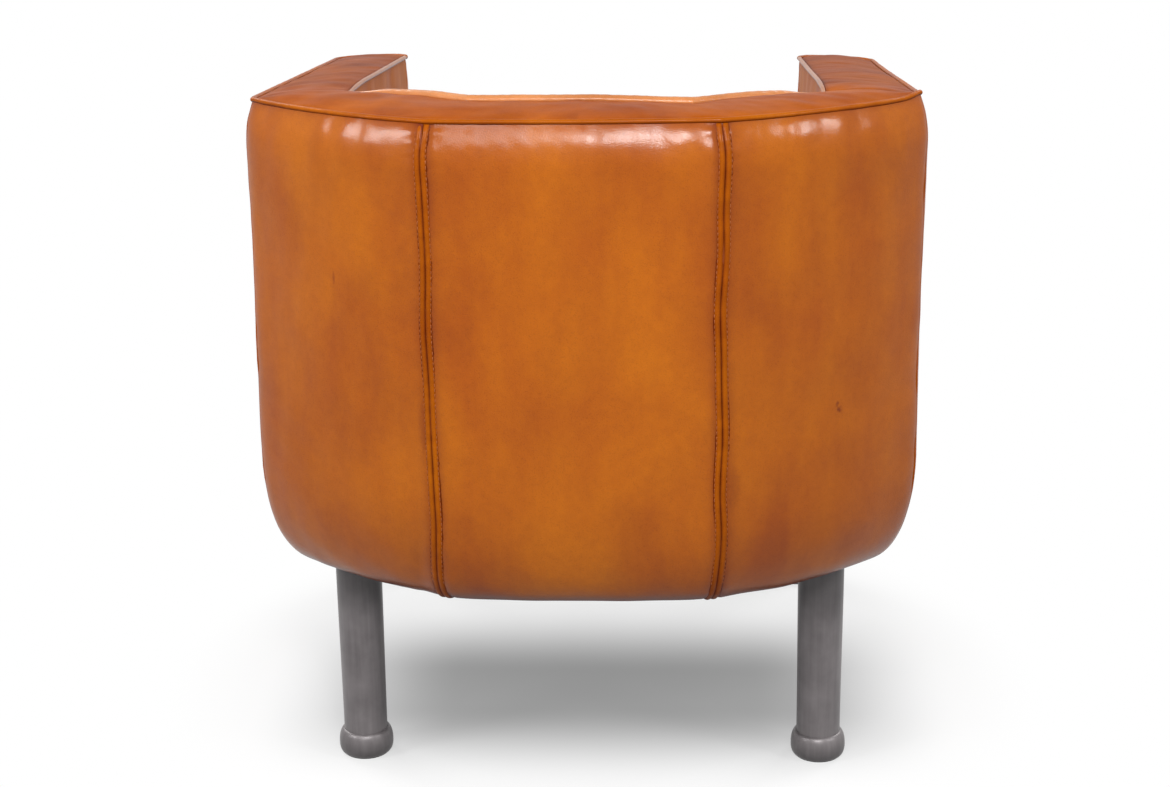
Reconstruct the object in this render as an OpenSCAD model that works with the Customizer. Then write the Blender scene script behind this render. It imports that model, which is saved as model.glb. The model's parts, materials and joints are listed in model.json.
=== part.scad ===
// Leather tub armchair on four round steel legs, built as its real pieces:
// leather covers and piping over foam pads, a wooden frame, a webbed seat with a loose cushion.
// The chair faces -Y. The origin is on the floor, under the middle of the chair's outer box.
// Left and right are the sitter's: left is +X.

/* [Shell plan] */
// Half width of the chair over the side piping
half_width = 328; // [305:1:350]
// From the rear corners forward to the front of the arms
arm_length = 578; // [540:1:620]
// Width of an arm between its two pipings
arm_width = 87; // [80:1:94]
// From the rear corners back to the middle of the back piping
back_depth = 137; // [120:1:150]
// Half width of the centre back panel, between the two seams
seam_x = 141; // [125:1:155]
// How far the two seams lie in front of the middle of the back
seam_setback = 6; // [0:1:10]
// How much closer to the middle the seams are at their lower end
seam_taper = 9; // [0:1:14]
// Thickness of the back at its middle
back_thickness = 111; // [104:1:118]
// Thickness of the back behind the slanted panels
side_thickness = 104; // [98:1:108]
// Outward bow of the slanted back panels
side_bow = 13; // [0:1:15]

/* [Heights] */
// Height of the piping along the back
back_height = 715; // [670:1:760]
// How much lower the arms are at their front end
arm_drop = 44; // [0:1:70]
// How much higher the inner top edge is than the outer one
inner_lift = 5; // [0:1:8]
// Crown of the top panels
top_crown = 5; // [1:1:8]
// Height of the underside of the shell
bottom_z = 232; // [210:1:260]

/* [Padding] */
// How far the back panels swell out past the piping
back_puff = 12; // [9:1:16]
// The same at the rear corners and round the front of the arms
corner_puff = 9; // [7:1:10]
// The same half way along the arms
arm_puff = 12; // [6:1:15]
// How far the inner faces swell towards the sitter
inner_puff = 4; // [1:1:6]
// Height over which a panel swells out below its piping
puff_depth = 48; // [40:1:60]
// How far the lower edge rolls in under the shell
roll_in = 44; // [38:1:45]
// Height of that roll
roll_height = 118; // [95:1:125]
// Share of the roll that is left at the front of the arms
arm_roll = 0.7; // [0.5:0.05:0.75]
// Depth of the padding outside the frame
outer_pad = 36; // [34:1:39]
// Depth of the padding above the top rails
top_pad = 20; // [16:1:26]

/* [Leather] */
// Thickness of the leather with its wadding
cover_t = 3; // [2:0.5:3.5]
// Diameter of the piping
piping_d = 6; // [4:0.5:7]
// Width of the double stitched strip over each back seam
strip_width = 13; // [9:1:18]
// Thickness of that strip
strip_t = 1.2; // [0.8:0.1:2]

/* [Wooden frame] */
// Thickness of the rails and posts of the back and arms
frame_t = 28; // [24:1:30]
// Height of the lower rails
rail_h = 55; // [45:1:65]
// Height of the upper rails
top_rail_h = 45; // [35:1:55]
// Width of the upright posts
post_w = 35; // [28:1:42]
// Thickness of the front and rear seat rails
seat_rail_t = 28; // [24:1:34]
// Thickness of the side seat rails
side_rail_t = 35; // [30:1:40]
// Leg of the triangular corner blocks
block_leg = 60; // [40:1:80]

/* [Seat] */
// Distance from the rear corners forward to the rear seat rail
rear_rail_setback = 12; // [12:1:40]
// Number of webbing straps from front to rear
long_straps = 5; // [3:1:6]
// Number of webbing straps from side to side
cross_straps = 5; // [3:1:6]
// Width of a webbing strap
strap_w = 50; // [40:1:60]
// Thickness of a webbing strap
strap_t = 1.5; // [1:0.5:2.5]
// Thickness of the deck cloth and of the dust cover
cloth_t = 1; // [0.8:0.1:2]
// How far the seat front stands back from the front of the arms
front_setback = 8; // [4:1:16]
// Radius of the lower front edge of the seat
front_roll = 20; // [14:1:21]
// Height of the cushion's border
border_h = 112; // [80:1:130]
// Crown of the cushion above its border
cushion_crown = 20; // [8:1:30]
// Swell of the cushion's border
border_puff = 3; // [1:0.5:5]
// How far the cushion's sides draw in between its corners
side_draw = 4; // [0:0.5:6]
// Clearance between the cushion and the padding round it
cushion_gap = 1.5; // [0.5:0.5:4]
// Radius of the cushion's front corners
cushion_corner = 30; // [15:1:40]

/* [Legs] */
// Distance of the legs' axes outside the inner sides of the arms
leg_offset = 5; // [3:1:7]
// Distance from the rear corners forward to the rear legs
rear_leg_setback = 19; // [17:1:22]
// Distance of the front legs' axes behind the middle of the arms' round ends
front_leg_offset = 9.5; // [8.5:0.5:13.5]
// Diameter of the leg tubes
leg_d = 49; // [40:1:52]
// Wall of the leg tubes
leg_wall = 2; // [1.5:0.5:4]
// Diameter of the feet
foot_d = 58; // [55:1:66]
// Height of the feet with their glides
foot_h = 40; // [30:1:60]
// Radius of the foot's upper shoulder
foot_round = 12; // [8:1:14]
// Height of the plastic glides
glide_h = 4; // [3:0.5:6]
// Diameter of the leg plates
plate_d = 66; // [66:0.5:67]
// Thickness of the leg plates
plate_t = 4; // [3:0.5:5]
// Distance of the screws from the leg's axis
screw_radius = 29; // [28.8:0.1:29.2]
// Diameter of the screws
screw_d = 4.5; // [3.5:0.5:4.5]
// Length of the screws
screw_length = 36; // [25:1:45]

/* [Hidden] */
$fn = 64;

leather = "#b9621c";
piping_colour = "#a85414";
foam = "#efe3c2";
wood = "#c9a26b";
web = "#4a3a2c";
cloth = "#2b2a2a";
steel = "#6a6666";
zinc = "#b9bcc0";
plastic = "#202020";

// Clearance between soft pieces that follow each other
fit = 0.3;
// Clearance round the legs and the screws
hole_gap = 0.2;
// Shape of the swell: higher keeps a panel fuller near its piping
swell = 2.2;
// Segments along each panel of the covers and pads
centre_steps = 8;
side_steps = 5;
arm_steps = 5;
round_steps = 8;
top_steps = 4;
pipe_sides = 8;
// The two sides of an arm top stop at this angle round its end, just short of each other
tip_angle = 84;
// Share of the roll that dies out towards the inner end of an arm's round front
round_fade = 0.6;
// Where the rounded inner end of an arm's front is cut off above the leg plate
notch_angle = 130;
// Clearance between the underside of the covers and the leg plates
plate_gap = 1.5;
// Inner pads are fullest above their middle: lower puts their belly higher
belly = 0.6;

// Y of the rear corners, which puts the origin under the middle of the chair
corner_y = (arm_length + corner_puff - back_depth - back_puff) / 2;
arm_radius = arm_width / 2;
arm_mid_x = half_width - arm_radius;
arm_inner_x = half_width - arm_width;
arm_end_y = corner_y - arm_length + arm_radius;
seam_y = corner_y + back_depth - seam_setback;
back_y = corner_y + back_depth;
seam = [seam_x, seam_y];
corner = [half_width, corner_y];
arm_front = [half_width, arm_end_y];

// Unit normal on the left of the way from a to b
function left_normal(a, b) = let (d = (b - a) / norm(b - a)) [-d.y, d.x];
// Vector that moves a corner by one unit away from both of its edges
function mitre(n1, n2) = (n1 + n2) / (1 + n1 * n2);
function lerp(a, b, t) = a + (b - a) * t;
function bump(t) = 4 * t * (1 - t);

side_normal = left_normal(seam, corner);
side_way = [side_normal.y, -side_normal.x];
seam_mitre = mitre([0, 1], side_normal);
corner_mitre = mitre(side_normal, [1, 0]);

// The inner back runs parallel to the outer panels, each at its own thickness
inner_y = back_y - back_thickness;
// Y on the slanted panel's line, moved in by d, at a given x
function side_line_y(x, d) = let (p = corner - d * side_normal)
  p.y + (x - p.x) * side_way.y / side_way.x;
function side_line_x(y, d) = let (p = corner - d * side_normal)
  p.x + (y - p.y) * side_way.x / side_way.y;
inner_seam = [side_line_x(inner_y, side_thickness), inner_y];
inner_corner = [arm_inner_x, side_line_y(arm_inner_x, side_thickness)];

frame_out = outer_pad;
frame_in = outer_pad + frame_t;
arm_frame_out_x = half_width - frame_out;
arm_frame_in_x = half_width - frame_in;
// The front posts stand this far past the centre of the round arm end
post_reach = 10;

// Height of the outer top edge over a plan point
function edge_z(p) = back_height - arm_drop * max(0, corner_y - p.y) / arm_length;
// Height of a top panel over a plan point, at share v of the way to its inner edge
function top_z(p, v) = edge_z(p) + inner_lift * v + top_crown * bump(v);

// Heights of the layers under the seat
leg_top_z = bottom_z + cover_t + plate_gap;
frame_z = leg_top_z + plate_t;
rail_top = frame_z + rail_h;
webbing_top = rail_top + 2 * strap_t;
deck_top = webbing_top + cloth_t;
inner_bottom = rail_top + strap_t + fit;

// A station is a place along a wall: [plan point, outward mitre, swell, share of the roll,
// plan point on the frame, lean for each mm down, height of the lower edge]
function station(p, m, puff, roll, face, lean = [0, 0], low = bottom_z) =
  [p, m, puff, roll, face, lean, low];
seam_lean = [-seam_taper / (back_height - bottom_z), 0];

function centre_stations() = [for (i = [-centre_steps : 2 : centre_steps])
  let (u = i / centre_steps, m = [seam_mitre.x * u, lerp(1, seam_mitre.y, abs(u))])
  station([seam_x * u, lerp(back_y, seam_y, u * u)], m, back_puff, 1,
          [seam_x * u, seam_y] - frame_out * m, u * seam_lean)];

function side_stations() = [for (i = [0 : side_steps])
  let (t = i / side_steps, m = lerp(seam_mitre, corner_mitre, t), p = lerp(seam, corner, t))
  station(p + side_normal * side_bow * bump(t), m, lerp(back_puff, corner_puff, pow(t, 3)), 1,
          p - frame_out * m, (1 - t) * seam_lean)];

function arm_stations() = concat(
  [for (i = [0 : arm_steps])
    let (t = i / arm_steps, m = lerp(corner_mitre, [1, 0], t), p = lerp(corner, arm_front, t))
    station(p, m, lerp(corner_puff, arm_puff, bump(t)), lerp(1, arm_roll, t),
            p - frame_out * m)],
  [for (i = [1 : round_steps])
    let (a = 180 * i / round_steps, m = [cos(a), -sin(a)], s = max(0, a / 90 - 1))
    station([arm_mid_x, arm_end_y] + arm_radius * m, m, corner_puff * (1 - s),
            arm_roll * (1 - round_fade * s),
            [lerp(arm_frame_out_x, arm_frame_in_x, s), arm_end_y - post_reach * min(1, a / 90)],
            [0, 0], a > notch_angle ? frame_z + fit : bottom_z)]);

// Inner stations face the sitter. Their frame face is the inner side of the same rails
function inner_centre_stations() = [for (i = [-centre_steps : 2 : centre_steps])
  let (u = i / centre_steps, m = mitre([0, 1], side_normal), k = [m.x * u, lerp(1, m.y, abs(u))])
  station([inner_seam.x * u, inner_y], -k, inner_puff, 0, [seam_x * u, seam_y] - frame_in * k)];

function inner_side_stations() = [for (i = [0 : side_steps])
  let (t = i / side_steps, m = lerp(seam_mitre, corner_mitre, t))
  station(lerp(inner_seam, inner_corner, t), -m, inner_puff, 0,
          lerp(seam, corner, t) - frame_in * m)];

function inner_arm_stations() = [for (i = [0 : arm_steps])
  let (t = i / arm_steps, m = lerp(corner_mitre, [1, 0], t),
       p = lerp(inner_corner, [arm_inner_x, arm_end_y], t),
       end_y = i == arm_steps ? arm_end_y - post_reach + 2 * fit : arm_end_y)
  station(p, -m, inner_puff * (1 - pow(t, 4)), 0,
          [arm_frame_in_x, lerp(corner_y - frame_in * corner_mitre.y, end_y, t)])];

// Levels of an outer wall, from the piping down: drops below the edge, shares of the flat, roll angles
edge_drop = piping_d / 2 + fit;
drops = [edge_drop, puff_depth * 0.25, puff_depth * 0.55, puff_depth];
flats = [0.5];
roll_angles = [0 : 22.5 : 90];

function swell_at(drop) = 1 - pow(max(0, 1 - drop / puff_depth), swell);

// Point of an outer wall: out along the station's mitre, at height z
function wall_point(s, out, z) =
  concat(s[0] + s[1] * out + s[5] * max(0, edge_z(s[0]) - z), z);

// Point of the rolled lower edge, depth below its surface, at angle a of the roll
function roll_point(s, depth, a) =
  wall_point(s, s[2] - roll_in * s[3] * (1 - cos(a)) - depth * cos(a),
             s[6] + roll_height * s[3] * (1 - sin(a)) + depth * sin(a));
function roll_top(s) = s[6] + roll_height * s[3];

// Column of points down an outer wall, depth below its surface
function wall_column(s, depth) =
  let (top = edge_z(s[0]))
  concat(
    [for (d = drops) wall_point(s, s[2] * swell_at(d) - depth, top - d)],
    [for (f = flats) wall_point(s, s[2] - depth, lerp(top - puff_depth, roll_top(s), f))],
    [for (a = roll_angles) roll_point(s, depth, a)]);

// The padding stops where its roll meets the face of the frame
pad_angles = [0 : 22.5 : 67.5];

function pad_column(s) =
  let (top = edge_z(s[0]), depth = cover_t + fit)
  concat(
    [for (d = drops) wall_point(s, s[2] * swell_at(d) - depth, top - max(d, depth + fit))],
    [for (f = flats) wall_point(s, s[2] - depth, lerp(top - puff_depth, roll_top(s), f))],
    [for (a = pad_angles) roll_point(s, depth, a)]);

// Inner side of a pad: it wraps over the top rail, then follows the frame's face down
function pad_back_column(s, wrap) =
  let (face = s[4], top = edge_z(face), depth = cover_t + fit)
  concat(
    [concat(wrap, top_z(wrap, 0.5) - top_crown / 2 - depth - fit), concat(wrap, top - top_pad)],
    [concat(face, top - top_pad), concat(face, top - puff_depth)],
    [for (f = flats) concat(face, lerp(top - puff_depth, roll_top(s), f))],
    [for (a = pad_angles) concat(face, roll_point(s, depth, a).z)]);

// Levels of an inner wall, from the piping down to the seat
inner_shares = [0, 0.08, 0.22, 0.5, 1];

function inner_column(s, depth) =
  let (top = edge_z(s[0]) + inner_lift)
  [for (f = inner_shares)
    concat(s[0] + s[1] * (s[2] * sin(180 * pow(f, belly)) - depth),
           lerp(top - edge_drop - (depth > 0 ? fit : 0), inner_bottom, f))];

function frame_column(s) =
  let (top = edge_z(s[4]) + inner_lift)
  [for (f = inner_shares) concat(s[4], lerp(top - edge_drop - fit, inner_bottom, f))];

// Closed solid between two grids of points: rows of a face outwards from b
module slab(a, b) {
  rows = len(a);
  cols = len(a[0]);
  flat = [for (g = [a, b]) for (r = g) for (p = r) p];
  function at(g, r, c) = (g * rows + r) * cols + c;
  function quad(p, q, r, s) = [[p, s, r], [p, r, q]];
  polyhedron(flat, [
    for (r = [0 : rows - 2]) for (c = [0 : cols - 2]) each
      quad(at(0, r, c), at(0, r + 1, c), at(0, r + 1, c + 1), at(0, r, c + 1)),
    for (r = [0 : rows - 2]) for (c = [0 : cols - 2]) each
      [for (f = quad(at(1, r, c), at(1, r + 1, c), at(1, r + 1, c + 1), at(1, r, c + 1)))
        [f[0], f[2], f[1]]],
    for (r = [0 : rows - 2]) each quad(at(1, r, 0), at(1, r + 1, 0), at(0, r + 1, 0), at(0, r, 0)),
    for (r = [0 : rows - 2]) each
      quad(at(0, r, cols - 1), at(0, r + 1, cols - 1), at(1, r + 1, cols - 1), at(1, r, cols - 1)),
    for (c = [0 : cols - 2]) each quad(at(1, 0, c), at(0, 0, c), at(0, 0, c + 1), at(1, 0, c + 1)),
    for (c = [0 : cols - 2]) each
      quad(at(1, rows - 1, c), at(1, rows - 1, c + 1), at(0, rows - 1, c + 1), at(0, rows - 1, c))
  ]);
}

// Round cord along stations, lifted above the outer edge. turn is -1 where the mitres point inwards
module piping(path, lift, turn) {
  r = piping_d / 2;
  n = len(path);
  points = [for (s = path) for (k = [0 : pipe_sides - 1])
    let (a = turn * 360 * k / pipe_sides)
    concat(s[0] + s[1] * r * cos(a), edge_z(s[0]) + lift + r * sin(a))];
  function at(i, k) = i * pipe_sides + k % pipe_sides;
  polyhedron(points, [
    for (i = [0 : n - 2]) for (k = [0 : pipe_sides - 1]) each
      [[at(i, k), at(i + 1, k), at(i + 1, k + 1)], [at(i, k), at(i + 1, k + 1), at(i, k + 1)]],
    for (k = [1 : pipe_sides - 2]) [at(0, 0), at(0, k), at(0, k + 1)],
    for (k = [1 : pipe_sides - 2]) [at(n - 1, 0), at(n - 1, k + 1), at(n - 1, k)]
  ]);
}

module wall_cover(stations) {
  slab([for (s = stations) wall_column(s, 0)], [for (s = stations) wall_column(s, cover_t)]);
}

module wall_pad(stations, wraps) {
  slab([for (s = stations) pad_column(s)],
       [for (i = [0 : len(stations) - 1]) pad_back_column(stations[i], wraps[i])]);
}

module inner_cover(stations) {
  slab([for (s = stations) inner_column(s, cover_t)], [for (s = stations) inner_column(s, 0)]);
}

module inner_pad(stations) {
  slab([for (s = stations) frame_column(s)],
       [for (s = stations) inner_column(s, cover_t + fit)]);
}

// Top panel between a row of outer and a row of inner stations, clear of both pipings
function top_grid(outer, inner, depth) = [for (i = [0 : len(outer) - 1])
  let (a = outer[i][0] - outer[i][1] * edge_drop, b = inner[i][0] - inner[i][1] * edge_drop)
  [for (j = [0 : top_steps])
    let (v = j / top_steps, p = lerp(a, b, v)) concat(p, top_z(p, v) - depth)]];

module top_cover(outer, inner) {
  slab(top_grid(outer, inner, cover_t), top_grid(outer, inner, 0));
}

// The rounded end of an arm, as pairs of points on both sides of its middle
function end_stations(side) = [for (i = [1 : round_steps / 2])
  let (a = tip_angle * 2 * i / round_steps, m = [side * cos(a), -sin(a)])
  station([arm_mid_x, arm_end_y] + arm_radius * m, m, 0, 0, [0, 0])];

function straight_arm(list) = [for (i = [0 : arm_steps]) list[i]];
function reversed(list) = [for (i = [len(list) - 1 : -1 : 0]) list[i]];
function across(v) = [-v.x, v.y];
function mirrored(list) = [for (s = reversed(list))
  station(across(s[0]), across(s[1]), s[2], s[3], across(s[4]), across(s[5]), s[6])];
function tail(list) = [for (i = [1 : len(list) - 1]) list[i]];

module both_sides() {
  children();
  mirror([1, 0, 0]) children();
}

// Covers
module back_cover_centre() {
  color(leather) wall_cover(centre_stations());
}

module back_cover_side() {
  color(leather) wall_cover(side_stations());
}

module arm_cover() {
  color(leather) wall_cover(arm_stations());
}

module back_top_cover() {
  outer = concat(mirrored(side_stations()), tail(centre_stations()), tail(side_stations()));
  inner = concat(mirrored(inner_side_stations()), tail(inner_centre_stations()),
                 tail(inner_side_stations()));
  color(leather) top_cover(outer, inner);
}

module arm_top_cover() {
  color(leather) top_cover(concat(straight_arm(arm_stations()), end_stations(1)),
                           concat(inner_arm_stations(), end_stations(-1)));
}

module inner_back_cover() {
  color(leather) inner_cover(concat(mirrored(inner_side_stations()), tail(inner_centre_stations()),
                                    tail(inner_side_stations())));
}

module inner_arm_cover() {
  color(leather) inner_cover(inner_arm_stations());
}

module outer_piping() {
  half = concat(tail(side_stations()), tail(arm_stations()));
  color(piping_colour) piping(concat(mirrored(half), centre_stations(), half), 0, 1);
}

module inner_piping() {
  half = concat(tail(inner_side_stations()), tail(inner_arm_stations()));
  color(piping_colour) piping(concat(mirrored(half), inner_centre_stations(), half), inner_lift, -1);
}

// Strip of stations over a seam, half on each panel
module seam_strip() {
  c = reversed(centre_stations());
  s = side_stations();
  half = strip_width / 2;
  near = [lerp_station(c[0], c[1], half), s[0], lerp_station(s[0], s[1], half)];
  slab([for (k = near) wall_column(k, -fit - strip_t)], [for (k = near) wall_column(k, -fit)]);
}

function lerp_station(a, b, d) =
  let (t = d / norm(b[0] - a[0])) [for (i = [0 : 6]) lerp(a[i], b[i], t)];

module back_seam_strips() {
  color(piping_colour) both_sides() seam_strip();
}

// Foam pads
module back_pad_centre() {
  color(foam) wall_pad(centre_stations(), [for (s = inner_centre_stations()) s[4]]);
}

module back_pad_side() {
  color(foam) wall_pad(side_stations(), [for (s = inner_side_stations()) s[4]]);
}

module arm_pad() {
  wraps = concat(
    [for (s = inner_arm_stations()) [s[4].x, max(s[4].y, arm_end_y)]],
    [for (i = [1 : round_steps])
      [arm_frame_in_x, arm_end_y - (post_reach - fit) * min(1, 2 * i / round_steps)]]);
  color(foam) wall_pad(arm_stations(), wraps);
}

module inner_back_pad_centre() {
  color(foam) inner_pad(inner_centre_stations());
}

module inner_back_pad_side() {
  color(foam) inner_pad(inner_side_stations());
}

module inner_arm_pad() {
  color(foam) inner_pad(inner_arm_stations());
}

// Frame
// Plan of a rail of the back between two corners of the shell
function rail_plan(a, ma, b, mb) =
  [a - frame_out * ma, b - frame_out * mb, b - frame_in * mb, a - frame_in * ma];
seam_left = across(seam);
seam_left_mitre = across(seam_mitre);
corner_out = corner - frame_out * corner_mitre;
corner_in = corner - frame_in * corner_mitre;
// The upper rails stay clear of the padding that wraps over them
wrap_gap = 1.5;
back_rail_top = edge_z(corner_in) - top_pad - wrap_gap;
post_front_y = arm_end_y - post_reach;
front_face_y = corner_y - arm_length + front_setback;
// Depth of the padding in front of the front seat rail
front_pad = 18;
front_rail_y = front_face_y + front_pad;
side_rail_x = arm_inner_x - side_rail_t;
rear_rail_y = corner_y - rear_rail_setback;

module upright(plan, low, high) {
  translate([0, 0, low]) linear_extrude(high - low) polygon(plan);
}

// Prism across the whole chair, between two drops below the sloping edge or down to a level
module under_edge(drop, height, low = undef) {
  ys = [back_y, corner_y, corner_y - arm_length];
  tops = [for (y = ys) [y, edge_z([0, y]) - drop]];
  bottoms = [for (t = reversed(tops)) [t.x, is_undef(low) ? t.y - height : low]];
  translate([-half_width, 0, 0]) rotate([90, 0, 90])
    linear_extrude(2 * half_width) polygon(concat(tops, bottoms));
}

module back_lower_rail() {
  color(wood) upright(rail_plan(seam_left, seam_left_mitre, seam, seam_mitre), frame_z, rail_top);
}

module side_lower_rail() {
  color(wood) difference() {
    upright(rail_plan(seam, seam_mitre, corner, corner_mitre), frame_z, rail_top);
    screw_holes();
  }
}

module back_upper_rail() {
  color(wood) upright(rail_plan(seam_left, seam_left_mitre, seam, seam_mitre),
                      back_rail_top - top_rail_h, back_rail_top);
}

module side_upper_rail() {
  color(wood) upright(rail_plan(seam, seam_mitre, corner, corner_mitre),
                      back_rail_top - top_rail_h, back_rail_top);
}

module back_posts() {
  a = seam - frame_out * seam_mitre;
  b = a + post_w * side_way;
  color(wood) both_sides()
    upright([a, b, b - frame_t * side_normal, seam - frame_in * seam_mitre],
            rail_top, back_rail_top - top_rail_h);
}

module arm_upright(plan) {
  intersection() {
    upright(plan, rail_top, back_height);
    under_edge(top_pad + wrap_gap + top_rail_h, 0, frame_z);
  }
}

module corner_posts() {
  low_y = corner_out.y - post_w;
  color(wood) both_sides()
    arm_upright([corner_out, [corner_out.x, low_y], [corner_in.x, low_y], corner_in]);
}

module arm_posts() {
  rear_y = post_front_y + post_w;
  color(wood) both_sides()
    arm_upright([[corner_out.x, rear_y], [corner_out.x, post_front_y],
                 [corner_in.x, post_front_y], [corner_in.x, rear_y]]);
}

module arm_base() {
  color(wood) difference() {
    upright([corner_out, [corner_out.x, post_front_y], [corner_in.x, post_front_y],
             [corner_in.x, arm_end_y], [arm_inner_x, arm_end_y],
             [arm_inner_x, side_line_y(arm_inner_x, frame_in)], corner_in],
            frame_z, rail_top);
    screw_holes();
  }
}

module arm_rail() {
  color(wood) intersection() {
    upright([corner_out, [corner_out.x, post_front_y], [corner_in.x, post_front_y], corner_in],
            rail_top, back_height);
    under_edge(top_pad + wrap_gap, top_rail_h);
  }
}

module seat_front_rail() {
  color(wood) difference() {
    translate([-arm_inner_x + fit, front_rail_y, frame_z])
      cube([2 * (arm_inner_x - fit), seat_rail_t, rail_h]);
    both_sides() screw_holes();
  }
}

module seat_rear_rail() {
  color(wood) translate([-side_rail_x, rear_rail_y - seat_rail_t, frame_z])
    cube([2 * side_rail_x, seat_rail_t, rail_h]);
}

module seat_side_rail() {
  front_y = front_rail_y + seat_rail_t;
  color(wood) difference() {
    upright([[side_rail_x, front_y], [arm_inner_x, front_y],
             [arm_inner_x, side_line_y(arm_inner_x, frame_in)],
             [side_rail_x, side_line_y(side_rail_x, frame_in)]],
            frame_z, rail_top + strap_t);
    screw_holes();
  }
}

module corner_blocks() {
  rear = rear_rail_y - seat_rail_t;
  front = front_rail_y + seat_rail_t;
  color(wood) both_sides() {
    upright([[side_rail_x, rear], [side_rail_x - block_leg, rear], [side_rail_x, rear - block_leg]],
            frame_z, rail_top);
    upright([[side_rail_x, front], [side_rail_x - block_leg, front],
             [side_rail_x, front + block_leg]], frame_z, rail_top);
  }
}

// Seat platform
module webbing_lengthways() {
  pitch = 2 * side_rail_x / long_straps;
  color(web) for (i = [0 : long_straps - 1])
    translate([-side_rail_x + pitch * (i + 0.5) - strap_w / 2, front_rail_y, rail_top])
      cube([strap_w, rear_rail_y - front_rail_y, strap_t]);
}

module webbing_crossways() {
  front = front_rail_y + seat_rail_t;
  rear = side_line_y(arm_inner_x, side_thickness);
  pitch = (rear - front) / cross_straps;
  color(web) for (i = [0 : cross_straps - 1])
    translate([-arm_inner_x + 1, front + pitch * (i + 0.5) - strap_w / 2, rail_top + strap_t])
      cube([2 * (arm_inner_x - 1), strap_w, strap_t]);
}

module seat_deck() {
  x = arm_inner_x - 1;
  rear = inner_y - 1;
  half = [[x, front_rail_y], [x, side_line_y(x, side_thickness + 1)],
          [side_line_x(rear, side_thickness + 1), rear]];
  color(cloth) upright(concat(half, [for (p = reversed(half)) [-p.x, p.y]]), webbing_top, deck_top);
}

function arc(cy, cz, r, from, to) = [for (i = [0 : 6])
  let (a = lerp(from, to, i / 6)) [cy + r * cos(a), cz + r * sin(a)]];

// Radius of the seat front's upper edge
top_round = 10;
// How far its cover reaches in under the seat
front_reach = 16;
under_y = front_face_y + front_roll + front_reach;
// Outline of the seat front, as y and z, taken in by d: up the front from the bottom roll
function front_outline(d) = concat(
  [[under_y, bottom_z + d]],
  reversed(arc(front_face_y + front_roll, bottom_z + front_roll, front_roll - d, 180, 270)),
  reversed(arc(front_face_y + top_round, deck_top - top_round, top_round - d, 90, 180)),
  [[front_rail_y - fit, deck_top - d]]);

// Prism with an outline in y and z, right across the seat
module across_seat(outline) {
  half = arm_inner_x - 2 * fit;
  translate([-half, 0, 0]) rotate([90, 0, 90]) linear_extrude(2 * half) polygon(outline);
}

module leg_holes() {
  at_legs() translate([0, 0, bottom_z - 1])
    cylinder(d = leg_d + 2 * hole_gap, h = leg_top_z - bottom_z + 1);
}

module seat_front_cover() {
  color(leather) difference() {
    across_seat(concat(front_outline(0), reversed(front_outline(cover_t))));
    leg_holes();
  }
}

module seat_front_pad() {
  depth = cover_t + fit;
  color(foam) intersection() {
    across_seat(concat(front_outline(depth), [[under_y, deck_top - depth]]));
    translate([-half_width, front_face_y, frame_z])
      cube([2 * half_width, front_rail_y - fit - front_face_y, deck_top - frame_z]);
  }
}

// The dust cover lies inside the rolled edge of the covers
module dust_cover() {
  function inner_edge(s) =
    let (p = wall_point(s, s[2] - roll_in * s[3] - fit, bottom_z)) [p.x, p.y];
  half = concat([for (s = centre_stations()) if (s[0].x >= 0) inner_edge(s)],
                [for (s = tail(side_stations())) inner_edge(s)],
                [for (s = tail(arm_stations())) inner_edge(s)]);
  plan = concat(half, [[arm_inner_x - fit, arm_end_y], [arm_inner_x - fit, under_y + fit]]);
  color(cloth) difference() {
    upright(concat(plan, [for (p = reversed(plan)) across(p)]), bottom_z, bottom_z + cloth_t);
    leg_holes();
  }
}

// Cushion
cushion_z = deck_top + fit;
cushion_top_z = cushion_z + border_h;
cushion_inset = inner_puff + cushion_gap;
cushion_x = arm_inner_x - cushion_inset;
cushion_front_y = front_face_y - 1;
cushion_rear_y = inner_y - cushion_inset;
cushion_half = [
  [cushion_x, cushion_front_y],
  [cushion_x, side_line_y(cushion_x, side_thickness + cushion_inset)],
  [side_line_x(cushion_rear_y, side_thickness + cushion_inset), cushion_rear_y]
];
cushion_corners = concat(cushion_half, [for (p = reversed(cushion_half)) across(p)]);
side_corner = 24;
rear_corner = 60;
cushion_radii = [cushion_corner, side_corner, rear_corner, rear_corner, side_corner, cushion_corner];
// Which of the edges after each corner draw in
cushion_draws = [1, 0.2, 0.4, 0.2, 1, 0.6];
cushion_middle = [0, (cushion_front_y + cushion_rear_y) / 2];
arc_points = 3;
edge_points = 3;
// Shape of the crown: higher keeps the middle flatter
crown_power = 2.5;

function right_normal(a, b) = -left_normal(a, b);

// Closed outline of the cushion, taken in by d
function cushion_outline(d) =
  let (n = len(cushion_corners))
  [for (i = [0 : n - 1])
    let (o = cushion_corners[(i + n - 1) % n], p = cushion_corners[i],
         q = cushion_corners[(i + 1) % n], after = cushion_corners[(i + 2) % n],
         n1 = right_normal(o, p), n2 = right_normal(p, q), n3 = right_normal(q, after),
         r = cushion_radii[i], c = p - r * mitre(n1, n2),
         rq = cushion_radii[(i + 1) % n], cq = q - rq * mitre(n2, n3))
    each concat(
      [for (k = [0 : arc_points])
        let (m = lerp(n1, n2, k / arc_points)) c + (r - d) * m / norm(m)],
      [for (k = [1 : edge_points]) let (t = k / (edge_points + 1))
        lerp(c + (r - d) * n2, cq + (rq - d) * n2, t) - n2 * side_draw * cushion_draws[i] * bump(t)])];

border_shares = [0, 0.25, 0.5, 0.75, 1];
top_shares = [1, 0.95, 0.85, 0.66, 0.4];

function at_height(points, z) = [for (p = points) concat(p, z)];

// Loops up the border, from z = low to z = high
function border_loops(d, low, high) = [for (f = border_shares)
  at_height(cushion_outline(d + border_puff * (1 - bump(f))), lerp(low, high, f))];

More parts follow.
